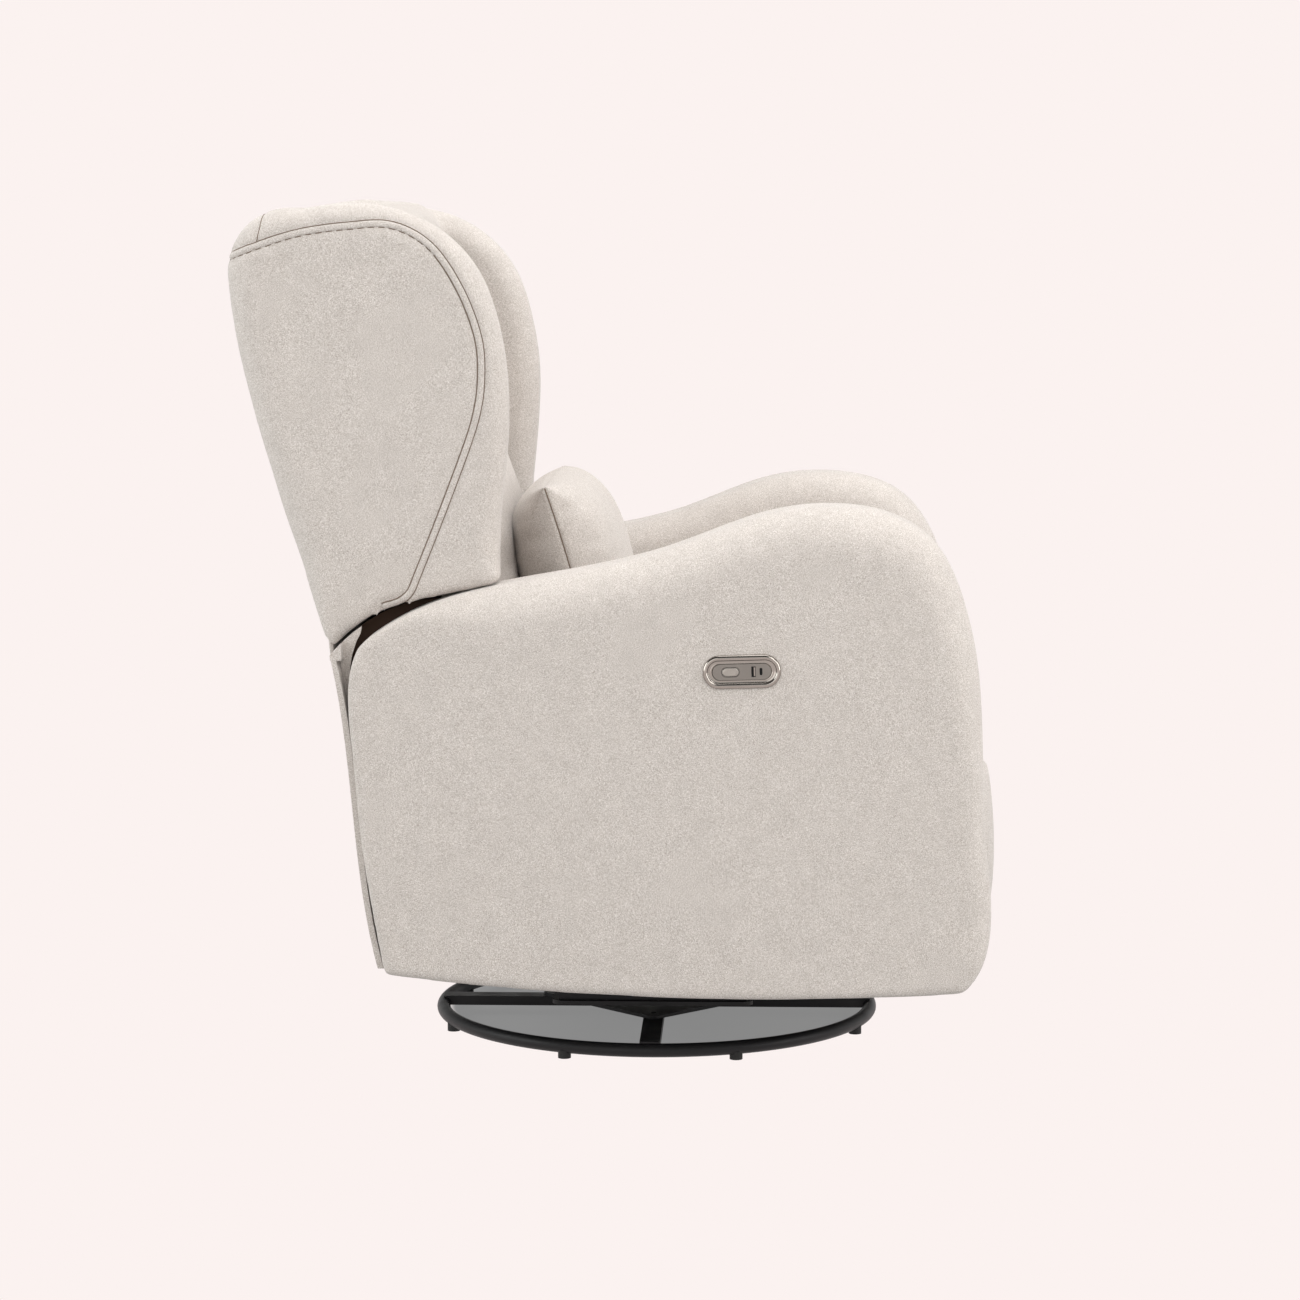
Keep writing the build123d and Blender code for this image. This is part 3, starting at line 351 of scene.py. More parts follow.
def puff(piece, pressure, cap, pinned=None, frames=20):
    """Blows a closed cushion cover up as cloth and lets no point move further than cap."""
    scene = bpy.context.scene
    start = read_points(piece.data)
    if pinned is not None:
        group = piece.vertex_groups.new(name="sewn")
        group.add([int(index) for index in np.nonzero(pinned)[0]], 1.0, "REPLACE")
    cloth = piece.modifiers.new("Cloth", "CLOTH")
    settings = cloth.settings
    settings.quality = 6
    settings.mass = 0.3
    settings.use_pressure = True
    settings.uniform_pressure_force = pressure
    settings.effector_weights.gravity = 0
    settings.tension_stiffness = 15
    settings.compression_stiffness = 15
    settings.bending_stiffness = 0.6
    if pinned is not None:
        settings.vertex_group_mass = "sewn"
    scene.frame_start = 1
    scene.frame_end = frames
    for number in range(1, frames + 1):
        scene.frame_set(number)
    graph = bpy.context.evaluated_depsgraph_get()
    settled = read_points(piece.evaluated_get(graph).data)
    piece.modifiers.clear()
    scene.frame_set(1)
    move = settled - start
    length = np.linalg.norm(move, axis=1)
    share = np.minimum(1, cap / np.maximum(length, 1e-9))
    write_points(piece.data, start + move * share[:, None])


def tube(name, line, radius, sides=6):
    """A round cord along a line of points, drawn in at its ends."""
    line = np.array(line, float)
    last = len(line) - 1
    points = []
    side = None
    for place in range(last + 1):
        ahead = line[min(place + 1, last)] - line[max(place - 1, 0)]
        ahead /= np.linalg.norm(ahead)
        if side is None:
            seed = np.array([1.0, 0, 0]) if abs(ahead[0]) < 0.9 else np.array([0, 1.0, 0])
            side = np.cross(ahead, seed)
        side = side - ahead * np.dot(side, ahead)
        side /= np.linalg.norm(side)
        other = np.cross(ahead, side)
        size = radius * (0.45 if place in (0, last) else 1.0)
        for corner in range(sides):
            angle = 2 * math.pi * corner / sides
            points.append(line[place] + (side * math.cos(angle) + other * math.sin(angle)) * size)
    return loft(name, points, last + 1)


def point_tree(points):
    """A search tree over points."""
    tree = KDTree(len(points))
    for place, spot in enumerate(points):
        tree.insert(Vector(spot), place)
    tree.balance()
    return tree


def sink_seam(piece, line, half_width, depth):
    """Draws a cover in along a seam line, as stitching does."""
    tree = point_tree(line)
    points = read_points(piece.data)
    normals = vertex_normals(piece.data)
    low = np.min(line, axis=0) - half_width
    high = np.max(line, axis=0) + half_width
    near = np.nonzero(np.all((points > low) & (points < high), axis=1))[0]
    for index in near:
        distance = tree.find(Vector(points[index]))[2]
        if distance < half_width:
            share = 1 - (distance / half_width) ** 2
            points[index] -= normals[index] * depth * share * share
    write_points(piece.data, points)


def welt(name, line, normals, width, height):
    """A flat sewn welt along a line on a surface, its edges tucked in."""
    line = np.array(line, float)
    normals = np.array(normals, float)
    ahead = np.gradient(line, axis=0)
    ahead /= np.linalg.norm(ahead, axis=1)[:, None]
    side = np.cross(ahead, normals)
    side /= np.linalg.norm(side, axis=1)[:, None]
    profile = ((-0.50, -1.6), (-0.52, 0.1), (-0.44, 0.62), (-0.25, 0.93), (0.0, 1.0),
               (0.25, 0.93), (0.44, 0.62), (0.52, 0.1), (0.50, -1.6))
    points = []
    for place, spot in enumerate(line):
        taper = 0.55 if place in (0, len(line) - 1) else 1.0
        for across, up in profile:
            points.append(spot + (side[place] * across * width + normals[place] * up * height) * taper)
    return loft(name, points, len(line))


def surface_of(*pieces):
    """A search tree over the surfaces of pieces, as they show."""
    graph = bpy.context.evaluated_depsgraph_get()
    points, faces = [], []
    for piece in pieces:
        mesh = piece.evaluated_get(graph).data
        start = len(points)
        points.extend(piece.matrix_world @ vertex.co for vertex in mesh.vertices)
        faces.extend([start + index for index in polygon.vertices] for polygon in mesh.polygons)
    return BVHTree.FromPolygons(points, faces)


# Rays that find a side start this far out from the middle plane and reach this far in.
CAST_FROM = 0.66
CAST_LENGTH = 0.6


def line_on_side(tree, outline, way):
    """A (y, z) line laid on the surface seen along way, with the surface's normals."""
    laid, facing = [], []
    for y, z in outline:
        start = Vector((-way[0] * CAST_FROM, y, z))
        place, normal, _, _ = tree.ray_cast(start, Vector(way), CAST_LENGTH)
        if place is not None:
            laid.append(np.array(place))
            facing.append(np.array(normal))
    return np.array(laid), np.array(facing)


def resting(tree, line):
    """A line moved to the nearest place on a surface."""
    return np.array([tree.find_nearest(Vector(spot))[0] for spot in line])


def even_normals(normals, rounds=6):
    """Normals along a line, evened out between neighbours."""
    for _ in range(rounds):
        padded = np.vstack([normals[:1], normals, normals[-1:]])
        normals = (padded[:-2] + 2 * padded[1:-1] + padded[2:]) / 4
    return normals / np.linalg.norm(normals, axis=1)[:, None]


def stitches(name, line, length, gap, radius):
    """A row of short threads along a line, each thinner at its ends."""
    line = np.array(line)
    reach = reach_along(line)
    shares = np.array([0, 0.15, 0.5, 0.85, 1])
    widths = (0.35, 0.9, 1.0, 0.9, 0.35)
    sides = 6
    points, faces = [], []
    start = gap
    while start + length < reach[-1]:
        spots = along_line(line, start + length * shares)
        ahead = spots[-1] - spots[0]
        ahead /= np.linalg.norm(ahead)
        side = np.cross(ahead, [1.0, 0.2, 0.1])
        side /= np.linalg.norm(side)
        other = np.cross(ahead, side)
        faces += loft_faces(len(spots), sides, base=len(points))
        for spot, width in zip(spots, widths):
            for corner in range(sides):
                angle = 2 * math.pi * corner / sides
                points.append(spot + (side * math.cos(angle) + other * math.sin(angle)) * radius * width)
        start += length + gap
    piece = add_object(name, mesh_from(name, points, faces))
    shade_smooth(piece)
    return piece


# ---------------------------------------------------------------- finishes
# Sockets of the Mix node that carry colours.
MIX_A, MIX_B, MIX_RESULT = 6, 7, 2


def new_finish(name, **inputs):
    """A node material: itself, its nodes, its links and its shader with inputs set."""
    finish = bpy.data.materials.new(name)
    finish.use_nodes = True
    nodes = finish.node_tree.nodes
    shader = nodes["Principled BSDF"]
    for key, value in inputs.items():
        shader.inputs[key].default_value = value
    return finish, nodes, finish.node_tree.links, shader


def add_node(nodes, kind, **inputs):
    """A node with its inputs set by name; names that are properties are set on the node."""
    node = nodes.new(kind)
    for key, value in inputs.items():
        if key in node.inputs:
            node.inputs[key].default_value = value
        else:
            setattr(node, key, value)
    return node


def wire(links, *routes):
    """Links sockets, each route given as (from node, output, to node, input)."""
    for source, output, target, entry in routes:
        links.new(source.outputs[output], target.inputs[entry])


def colour_ramp(nodes, *stops):
    """A colour ramp through (position, colour) stops, the two ends first."""
    node = nodes.new("ShaderNodeValToRGB")
    elements = node.color_ramp.elements
    for number, (position, colour) in enumerate(stops):
        element = elements[number] if number < 2 else elements.new(position)
        element.position = position
        element.color = rgba(colour)
    return node


def map_range(nodes, interpolation_type="LINEAR", **ends):
    """A node that maps one range of values to another; ends are named as from_min, to_max and so on."""
    node = add_node(nodes, "ShaderNodeMapRange", interpolation_type=interpolation_type)
    for key, value in ends.items():
        node.inputs[key.replace("_", " ").title()].default_value = value
    return node


def rgba(colour):
    """A colour with full alpha."""
    return (*tuple(colour)[:3], 1.0)


def woven_cloth(name, base, pale, deep):
    """Heathered plain-weave cloth: two yarn tones, slubs, soft mottling and a fine raised weave."""
    finish, nodes, links, shader = new_finish(name, **{
        "Roughness": 0.93, "Sheen Weight": 0.22, "Sheen Roughness": 0.45, "Specular IOR Level": 0.18})
    spot = nodes.new("ShaderNodeTexCoord")
    upright = add_node(nodes, "ShaderNodeMapping", Scale=(1.0, 1.0, 0.55))
    across = add_node(nodes, "ShaderNodeMapping", Scale=(0.6, 0.6, 1.5))
    warp = add_node(nodes, "ShaderNodeTexNoise", Scale=1350.0, Detail=2.0, Roughness=0.5)
    weft = add_node(nodes, "ShaderNodeTexNoise", Scale=1250.0, Detail=2.0, Roughness=0.5)
    mottle = add_node(nodes, "ShaderNodeTexNoise", Scale=46.0, Detail=4.0, Roughness=0.6)
    warp_tones = colour_ramp(nodes, (0.36, deep), (0.66, pale), (0.5, base))
    weft_tones = colour_ramp(nodes, (0.38, deep), (0.62, pale), (0.5, base))
    yarns = add_node(nodes, "ShaderNodeMix", data_type="RGBA", Factor=0.5)
    patch = map_range(nodes, from_min=0.3, from_max=0.7, to_min=0.955, to_max=1.035)
    tone = nodes.new("ShaderNodeHueSaturation")
    weave = add_node(nodes, "ShaderNodeTexVoronoi", Scale=780.0)
    height = add_node(nodes, "ShaderNodeMath", operation="ADD")
    raised = add_node(nodes, "ShaderNodeBump", Strength=0.35, Distance=0.0006)
    wire(links,
         (spot, "Object", upright, "Vector"), (upright, "Vector", warp, "Vector"),
         (spot, "Object", across, "Vector"), (across, "Vector", weft, "Vector"),
         (warp, "Fac", warp_tones, "Fac"), (weft, "Fac", weft_tones, "Fac"),
         (warp_tones, "Color", yarns, MIX_A), (weft_tones, "Color", yarns, MIX_B),
         (spot, "Object", mottle, "Vector"), (mottle, "Fac", patch, "Value"),
         (patch, "Result", tone, "Value"), (yarns, MIX_RESULT, tone, "Color"),
         (tone, "Color", shader, "Base Color"),
         (spot, "Object", weave, "Vector"), (weave, "Distance", height, 0), (warp, "Fac", height, 1),
         (height, "Value", raised, "Height"), (raised, "Normal", shader, "Normal"))
    return finish


def coated_metal(name, colour, roughness=0.38, metallic=0.0, grain=900.0, bump=0.05):
    """Painted, plated or bare metal with a fine uneven surface and a trace of wear."""
    finish, nodes, links, shader = new_finish(name, **{
        "Metallic": metallic, "Coat Roughness": 0.25, "Specular IOR Level": 0.3})
    spot = nodes.new("ShaderNodeTexCoord")
    fine = add_node(nodes, "ShaderNodeTexNoise", Scale=grain, Detail=2.0)
    broad = add_node(nodes, "ShaderNodeTexNoise", Scale=38.0, Detail=3.0)
    shine = map_range(nodes, to_min=roughness * 0.8, to_max=min(1.0, roughness * 1.25))
    worn = [value * 0.88 for value in colour]
    bright = [min(1.0, value * 1.12) for value in colour]
    tint = colour_ramp(nodes, (0.0, worn), (1.0, bright))
    rough = add_node(nodes, "ShaderNodeBump", Strength=bump, Distance=0.0003)
    wire(links,
         (spot, "Object", broad, "Vector"), (spot, "Object", fine, "Vector"),
         (broad, "Fac", shine, "Value"), (shine, "Result", shader, "Roughness"),
         (broad, "Fac", tint, "Fac"), (tint, "Color", shader, "Base Color"),
         (fine, "Fac", rough, "Height"), (rough, "Normal", shader, "Normal"))
    return finish


def moulded_plastic(name, colour, roughness):
    """Moulded plastic with a fine spark-eroded grain."""
    return coated_metal(name, colour, roughness, grain=1500.0, bump=0.12)


def plain_timber(name, colour):
    """Plain plywood with a long grain."""
    finish, nodes, links, shader = new_finish(name, Roughness=0.7)
    spot = nodes.new("ShaderNodeTexCoord")
    stretch = add_node(nodes, "ShaderNodeMapping", Scale=(1.0, 9.0, 9.0))
    grain = add_node(nodes, "ShaderNodeTexNoise", Scale=14.0, Detail=6.0, Distortion=0.4)
    tint = colour_ramp(nodes, (0.3, [value * 0.62 for value in colour]), (0.7, colour))
    raised = add_node(nodes, "ShaderNodeBump", Strength=0.2, Distance=0.0005)
    wire(links,
         (spot, "Object", stretch, "Vector"), (stretch, "Vector", grain, "Vector"),
         (grain, "Fac", tint, "Fac"), (tint, "Color", shader, "Base Color"),
         (grain, "Fac", raised, "Height"), (raised, "Normal", shader, "Normal"))
    return finish


FINISHES = {}


def cloth(name):
    """The chair's cloth in the colours of the settings."""
    tone = colours()
    return woven_cloth(name, tone.cover, tone.cover_pale, tone.cover_deep)


def finish_for(slot):
    """The finish of one of the record's material slots, or of a piece of trim, made once."""
    if slot in FINISHES:
        return FINISHES[slot]
    steel, nickel = colours().steel, colours().nickel
    dull_nickel = [value * 0.66 for value in nickel]
    makers = {
        "upholstery": lambda: cloth("oatmeal_cloth"),
        "pillow_fabric": lambda: cloth("oatmeal_cloth_pillow"),
        "black_steel": lambda: coated_metal("black_powder_coat", steel, 0.45),
        "black_links": lambda: coated_metal("black_dip_coat", (0.02, 0.02, 0.022), 0.45),
        "zinc_steel": lambda: coated_metal("zinc_plate", (0.55, 0.55, 0.53), 0.32, 1.0),
        "spring_steel": lambda: coated_metal("spring_wire", (0.22, 0.22, 0.23), 0.4, 1.0),
        "glide_plastic": lambda: moulded_plastic("glide_plastic", (0.02, 0.02, 0.02), 0.55),
        "timber": lambda: plain_timber("plain_timber", (0.52, 0.36, 0.2)),
        "nickel": lambda: coated_metal("satin_nickel", nickel, 0.13, 1.0, grain=1200.0, bump=0.004),
        "control_plastic": lambda: coated_metal("satin_nickel_plate", dull_nickel, 0.42, 0.85, bump=0.04),
        "socket_metal": lambda: coated_metal("socket_shell", (0.09, 0.085, 0.08), 0.35, 0.8),
        "drive_plastic": lambda: moulded_plastic("drive_nylon", (0.03, 0.03, 0.03), 0.5),
        # Dark brown of the topstitch threads, also laid as thin tubes in the seam grooves, where it is
        # painted shade.
        "thread_and_seam_shade": lambda: moulded_plastic("thread_and_seam_shade", (0.20, 0.155, 0.12), 0.9),
        # Painted shade: near-black brown of the sheet that fills the shaded gap at each arm's rear corner.
        "painted_gap_shade": lambda: moulded_plastic("painted_gap_shade_sheet", (0.052, 0.030, 0.020), 0.95),
        "rocker_face": lambda: coated_metal("rocker_face", (0.36, 0.33, 0.30), 0.3, 0.5, bump=0.02),
        # Near-black of the socket wells: the sockets' black insides, painted darker as the shade deep in
        # their mouths.
        "socket_black_and_shade": lambda: moulded_plastic("socket_black_and_shade", (0.004, 0.004, 0.004), 0.8),
        "motor_case": lambda: coated_metal("motor_case", (0.05, 0.05, 0.055), 0.4, 0.6),
    }
    FINISHES[slot] = makers[slot]()
    return FINISHES[slot]


def dress(piece, slot, body, *nodes, finish=None):
    """Gives a piece its finish and body, and hides the CAD nodes it stands for."""
    piece.data.materials.clear()
    piece.data.materials.append(finish_for(finish or slot))
    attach(piece, body)
    if nodes:
        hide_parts(*nodes)


# ---------------------------------------------------------------- covers
# Radii of the rolled edges, in metres; a tight one is a seam without padding.
SIDE_ROLL = 0.026
TIGHT_ROLL = 0.007
ARM_INNER_ROLL = 0.046
WING_INNER_ROLL = 0.030
# How far the shell's sides reach into the wings.
SHELL_TUCK = 0.012

# How far the back's crest has dropped, at distances back from the shell's front.
CREST_FALL = ((0.02, 0.0), (0.09, 0.0065), (0.147, 0.016), (0.19, 0.029), (0.216, 0.043), (0.242, 0.070))

# How far a cushion's cover starts inside its solid, and the air pressure that fills it.
CUSHION_SHRINK = 0.004
CUSHION_PRESSURE = 4.0
PILLOW_PRESSURE = 1.2
# Ends of the pillow's middle line, from the box's low and high corners as (y, z).
PILLOW_FOOT = (0.040, 0.003)
PILLOW_HEAD = (-0.0435, 0.0035)
# How far the pillow's front and rear panels stand out from that line.
PILLOW_FRONT = 0.063
PILLOW_REAR = 0.076

# (y, z) of the axis that the back turns about, and how far its fixed neighbours may reach from it.
RECLINE_PIVOT = (0.200, 0.400)
SWEEP_REACH = 0.1708
# Free edge of the folded flap at an arm's rear corner, from its top round to the rear panel.
FLAP_FOLD = ((0.3215, 0.4990), (0.3140, 0.4450), (0.3095, 0.4450), (0.3100, 0.4900), (0.3070, 0.5080),
             (0.3020, 0.5235), (0.2970, 0.5330))


def arm_cover(side, node, name):
    """One arm's cover: a full roll over the top, a smaller one down the front, and tight rear and sole."""
    low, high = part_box(node)
    line = side_line(node, 260)
    depth, up = box_shares(line, node)
    roll = SIDE_ROLL + (sizes().arm_roll - SIDE_ROLL) * ramp_up(up, 0.45, 0.35)
    soft = np.minimum(ramp_up(up, 0.02, 0.12), np.clip((0.93 - depth) / 0.16, 0, 1))
    roll = TIGHT_ROLL + (roll - TIGHT_ROLL) * soft * soft * (3 - 2 * soft)
    outer = side * max(abs(low[0]), abs(high[0]))
    inner = side * min(abs(low[0]), abs(high[0]))
    piece = rolled_slab(name, line, inner, outer, np.minimum(roll, ARM_INNER_ROLL), roll)
    voxel_mesh(piece, sizes().voxel * 0.75)
    relax(piece, 12)
    drape_uneven(piece, 0.0005, 0.16, 11 if side < 0 else 12)
    shade_smooth(piece)
    dress(piece, "upholstery", "chassis", node)


def back_core():
    """The shell between the wings, widened into them, its crest falling away towards the rear."""
    shell_low, shell_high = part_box("back_shell")
    core = add_object("shell_part", frame["nodes"]["back_shell"].data.copy())
    spread = read_points(core.data)
    spread[:, 0] *= (abs(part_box("wing_right")[1][0]) + SHELL_TUCK) / abs(shell_high[0])
    back, drop = np.array(CREST_FALL).T
    crest = np.interp(spread[:, 1], shell_low[1] + back, shell_high[2] - drop)
    spread[:, 2] = np.where(spread[:, 2] > crest, crest + 0.1 * (spread[:, 2] - crest), spread[:, 2])
    write_points(core.data, spread)
    return core


def back_cover():
    """The outer back: both wings and the shell between them, sewn as one cover."""
    low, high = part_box("wing_right")
    line = side_line("wing_right", 240)
    depth, up = box_shares(line, "wing_right")
    rear = ramp_up(depth, 0.55 + 0.2 * up, 0.2) * np.clip((0.97 - up) / 0.1, 0, 1)
    outer_roll = sizes().wing_roll + (sizes().back_round - sizes().wing_roll) * rear
    above_sole = np.clip(ramp_up(up, 0.15, 0.05) + rear * ramp_up(up, 0.02, 0.10), 0, 1)
    outer_roll = TIGHT_ROLL + (outer_roll - TIGHT_ROLL) * above_sole
    inner_roll = np.full(len(line), WING_INNER_ROLL)
    parts = []
    for side in (-1, 1):
        outer = side * abs(low[0])
        inner = side * (abs(high[0]) - 0.004)
        parts.append(rolled_slab("wing_part", line, inner, outer, inner_roll, outer_roll))
    parts.append(back_core())
    build = bmesh.new()
    for part in parts:
        build.from_mesh(part.data)
        bpy.data.objects.remove(part)
    mesh = bpy.data.meshes.new("back_cover")
    build.to_mesh(mesh)
    build.free()
    piece = add_object("back_cover", mesh)
    voxel_mesh(piece, sizes().voxel * 0.8)
    relax(piece, 46)
    drape_uneven(piece, 0.0006, 0.14, 5)
    shade_smooth(piece)
    dress(piece, "upholstery", "back", "back_shell", "wing_left", "wing_right")
    return piece


def cushion_cover(node, body, cap, seed):
    """A stuffed cushion: slightly smaller than its solid, blown up as cloth."""
    piece = add_object(node + "_cover", frame["nodes"][node].data.copy())
    voxel_mesh(piece, sizes().voxel)
    relax(piece, 12)
    write_points(piece.data, read_points(piece.data) - vertex_normals(piece.data) * CUSHION_SHRINK)
    puff(piece, CUSHION_PRESSURE, cap)
    relax(piece, 4)
    drape_uneven(piece, 0.0008, 0.12, seed)
    shade_smooth(piece)
    dress(piece, "upholstery", body, node)


def pillow_cover():
    """The lumbar pillow: two sewn panels drawn in at the seam, with soft puckers along both ends, and a
    dark tube in each end seam as painted shade of its groove.
    """
    low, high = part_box("lumbar_pillow")
    half = (high[0] - low[0]) / 2 - 0.001
    foot = np.array([low[1] + PILLOW_FOOT[0], low[2] + PILLOW_FOOT[1]])
    head = np.array([high[1] + PILLOW_HEAD[0], high[2] + PILLOW_HEAD[1]])
    lean = head - foot
    length = np.linalg.norm(lean)
    lean /= length
    across = np.array([-lean[1], lean[0]])
    columns, rows = 96, 56
    points, faces = [], []
    index = {}
    for face_side in (1, -1):
        for row in range(rows + 1):
            for column in range(columns + 1):
                u = math.sin(math.pi / 2 * (-1 + 2 * column / columns))
                v = math.sin(math.pi / 2 * (-1 + 2 * row / rows))
                rim = row in (0, rows) or column in (0, columns)
                if rim and face_side < 0:
                    index[face_side, row, column] = index[1, row, column]
                    continue
                wide = half * (1 - 0.050 * (1 - v * v) * u * u)
                tall = 1 + (0.045 if v > 0 else -0.03) * (1 - u * u) * v * v
                fall = max(0.0, 1 - abs(u) ** 3.4) ** 0.52 * max(0.0, 1 - abs(v) ** 2.9) ** 0.52
                thick = (PILLOW_FRONT if face_side > 0 else PILLOW_REAR) * fall
                end = math.exp(-((1 - abs(u)) / 0.16) ** 2) * fall
                pucker = math.sin(v * 17 + 1.3 * face_side + u * 2) + 0.6 * math.sin(v * 29 + u * 5 + 2.1)
                thick += 0.0030 * pucker * end * (0.6 if face_side > 0 else 1.3)
                if rim:
                    thick = 0.0
                    wide *= 0.9905
                curve = -0.003 * (1 - v * v)
                spot = foot + lean * (length * (v * tall * (0.982 if rim else 1.0) + 1) / 2)
                spot = spot + across * (thick * face_side - curve)
                index[face_side, row, column] = len(points)
                points.append((u * wide, spot[0], spot[1]))
    for face_side in (1, -1):
        for row in range(rows):
            for column in range(columns):
                faces.append((index[face_side, row, column], index[face_side, row, column + 1],
                              index[face_side, row + 1, column + 1], index[face_side, row + 1, column]))
    piece = add_object("pillow_cover", mesh_from("pillow_cover", points, faces))
    sewn = np.zeros(len(piece.data.vertices), bool)
    marks = np.array(points)
    tree = point_tree(read_points(piece.data))
    for (_, row, column), place in index.items():
        if row in (0, rows) or column in (0, columns):
            sewn[tree.find(Vector(marks[place]))[1]] = True
    puff(piece, PILLOW_PRESSURE, 0.006, sewn)
    shade_smooth(piece)
    smoother = piece.modifiers.new("Subdivision", "SUBSURF")
    smoother.levels = 1
    smoother.render_levels = 1
    dress(piece, "pillow_fabric", "pillow", "lumbar_pillow")
    surface = surface_of(piece)
    # Painted shade: a thin dark tube along each end seam darkens its groove.
    for column, name in ((0, "pillow_seam_shade_right"), (columns, "pillow_seam_shade_left")):
        seam = resting(surface, marks[[index[1, row, column] for row in range(rows + 1)]])
        dark_seam_trim = tube(name, even_line(seam), 0.00085)
        dress(dark_seam_trim, "pillow_fabric", "pillow", finish="thread_and_seam_shade")


def even_line(line, rounds=4):
    """A line with its small kinks evened out."""
    for _ in range(rounds):
        line = np.vstack([line[:1], (line[:-2] + 2 * line[1:-1] + line[2:]) / 4, line[-1:]])
    return line


def rear_cover():
    """The thin upholstered panel across the rear of both arms, its rim softly rounded."""
    piece = add_object("rear_cover", frame["nodes"]["rear_panel"].data.copy())
    bevel = piece.modifiers.new("Bevel", "BEVEL")
    bevel.width = 0.0028
    bevel.segments = 3
    bevel.angle_limit = math.radians(50)
    bake(piece)
    shade_smooth(piece)
    dress(piece, "upholstery", "chassis", "rear_panel")


def back_hem():
    """The hem of the back cover, which hangs a little way over the top of the rear panel."""
    panel_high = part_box("rear_panel")[1]
    half = abs(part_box("wing_right")[0][0]) - 0.006
    face = panel_high[1] + 0.0012
    thick = 0.0034
    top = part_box("back_shell")[0][2] + 0.012
    bottom = panel_high[2] - 0.006
    section = ((face, top), (face, bottom + 0.002), (face + thick * 0.3, bottom),
               (face + thick * 0.8, bottom), (face + thick, bottom + 0.002), (face + thick * 1.6, top))
    columns = 60
    points = []
    for column in range(columns + 1):
        x = -half + 2 * half * column / columns
        points += [(x, y, z) for y, z in section]
    dress(loft("back_hem", points, columns + 1), "upholstery", "back")


def board_wrap():
    """The cloth stapled round the footrest board."""
    piece = add_object("footrest_board_wrap", frame["nodes"]["footrest_board"].data.copy())
    points = read_points(piece.data)
    middle = (points.min(axis=0) + points.max(axis=0)) / 2
    size = points.max(axis=0) - points.min(axis=0)
    write_points(piece.data, middle + (points - middle) * (1 + 0.0012 / size))
    dress(piece, "upholstery", "footrest_panel")


def sweep_arc(start, end, steps):
    """(y, z) points of the arc that the back's lower edge clears, in degrees from straight up."""
    spots = []
    for step in range(steps + 1):
        angle = math.radians(start + (end - start) * step / steps)
        spots.append((RECLINE_PIVOT[0] + SWEEP_REACH * math.sin(angle),
                      RECLINE_PIVOT[1] + SWEEP_REACH * math.cos(angle)))
    return spots


def rear_gussets():
    """A near-black brown sheet as painted shade in the gap at each arm's rear corner, a folded flap there,
    and the cap over the rear panel.
    """
    low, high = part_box("rear_panel")
    foot = RECLINE_PIVOT[1] + 0.040
    line = sweep_arc(0, 46, 14) + [(high[1] - 0.018, foot), (RECLINE_PIVOT[0] + 0.030, foot)]
    fold = sweep_arc(34, 46.5, 6) + list(FLAP_FOLD)
    for side, name in ((-1, "right"), (1, "left")):
        # Painted shade: the gusset fills the gap behind the arm's rear corner in near-black brown.
        prism("rear_gusset_shade_" + name, line, side * 0.2665, side * 0.300, finish="painted_gap_shade")
        prism("rear_flap_" + name, fold, side * 0.345, side * 0.349)
    cap = sweep_arc(43.6, 50, 6)
    under = high[2] - 0.006
    cap += [(high[1] - 0.0005, under), (cap[0][0], under)]
    prism("rear_panel_cap", cap, low[0] + 0.001, high[0] - 0.001)


def prism(name, outline, near_x, far_x, finish=None):
    """A fixed cloth piece of one section, between two x faces."""
    count = len(outline)
    points = [(x, y, z) for x in (near_x, far_x) for y, z in outline]
    faces = [tuple(range(count)), tuple(range(count, 2 * count))]
    for place in range(count):
        after = (place + 1) % count
        faces.append((place, after, count + after, count + place))
    dress(add_object(name, mesh_from(name, points, faces)), "upholstery", "chassis", finish=finish)


# ---------------------------------------------------------------- trim
# Shares of the welt's route that it covers, and that its inner topstitching shows as dashes.
WELT_SHARE = 0.955
DASHED_SHARE = 0.36
WELT_HEIGHT = 0.0030
STITCH_GAP = 0.0042


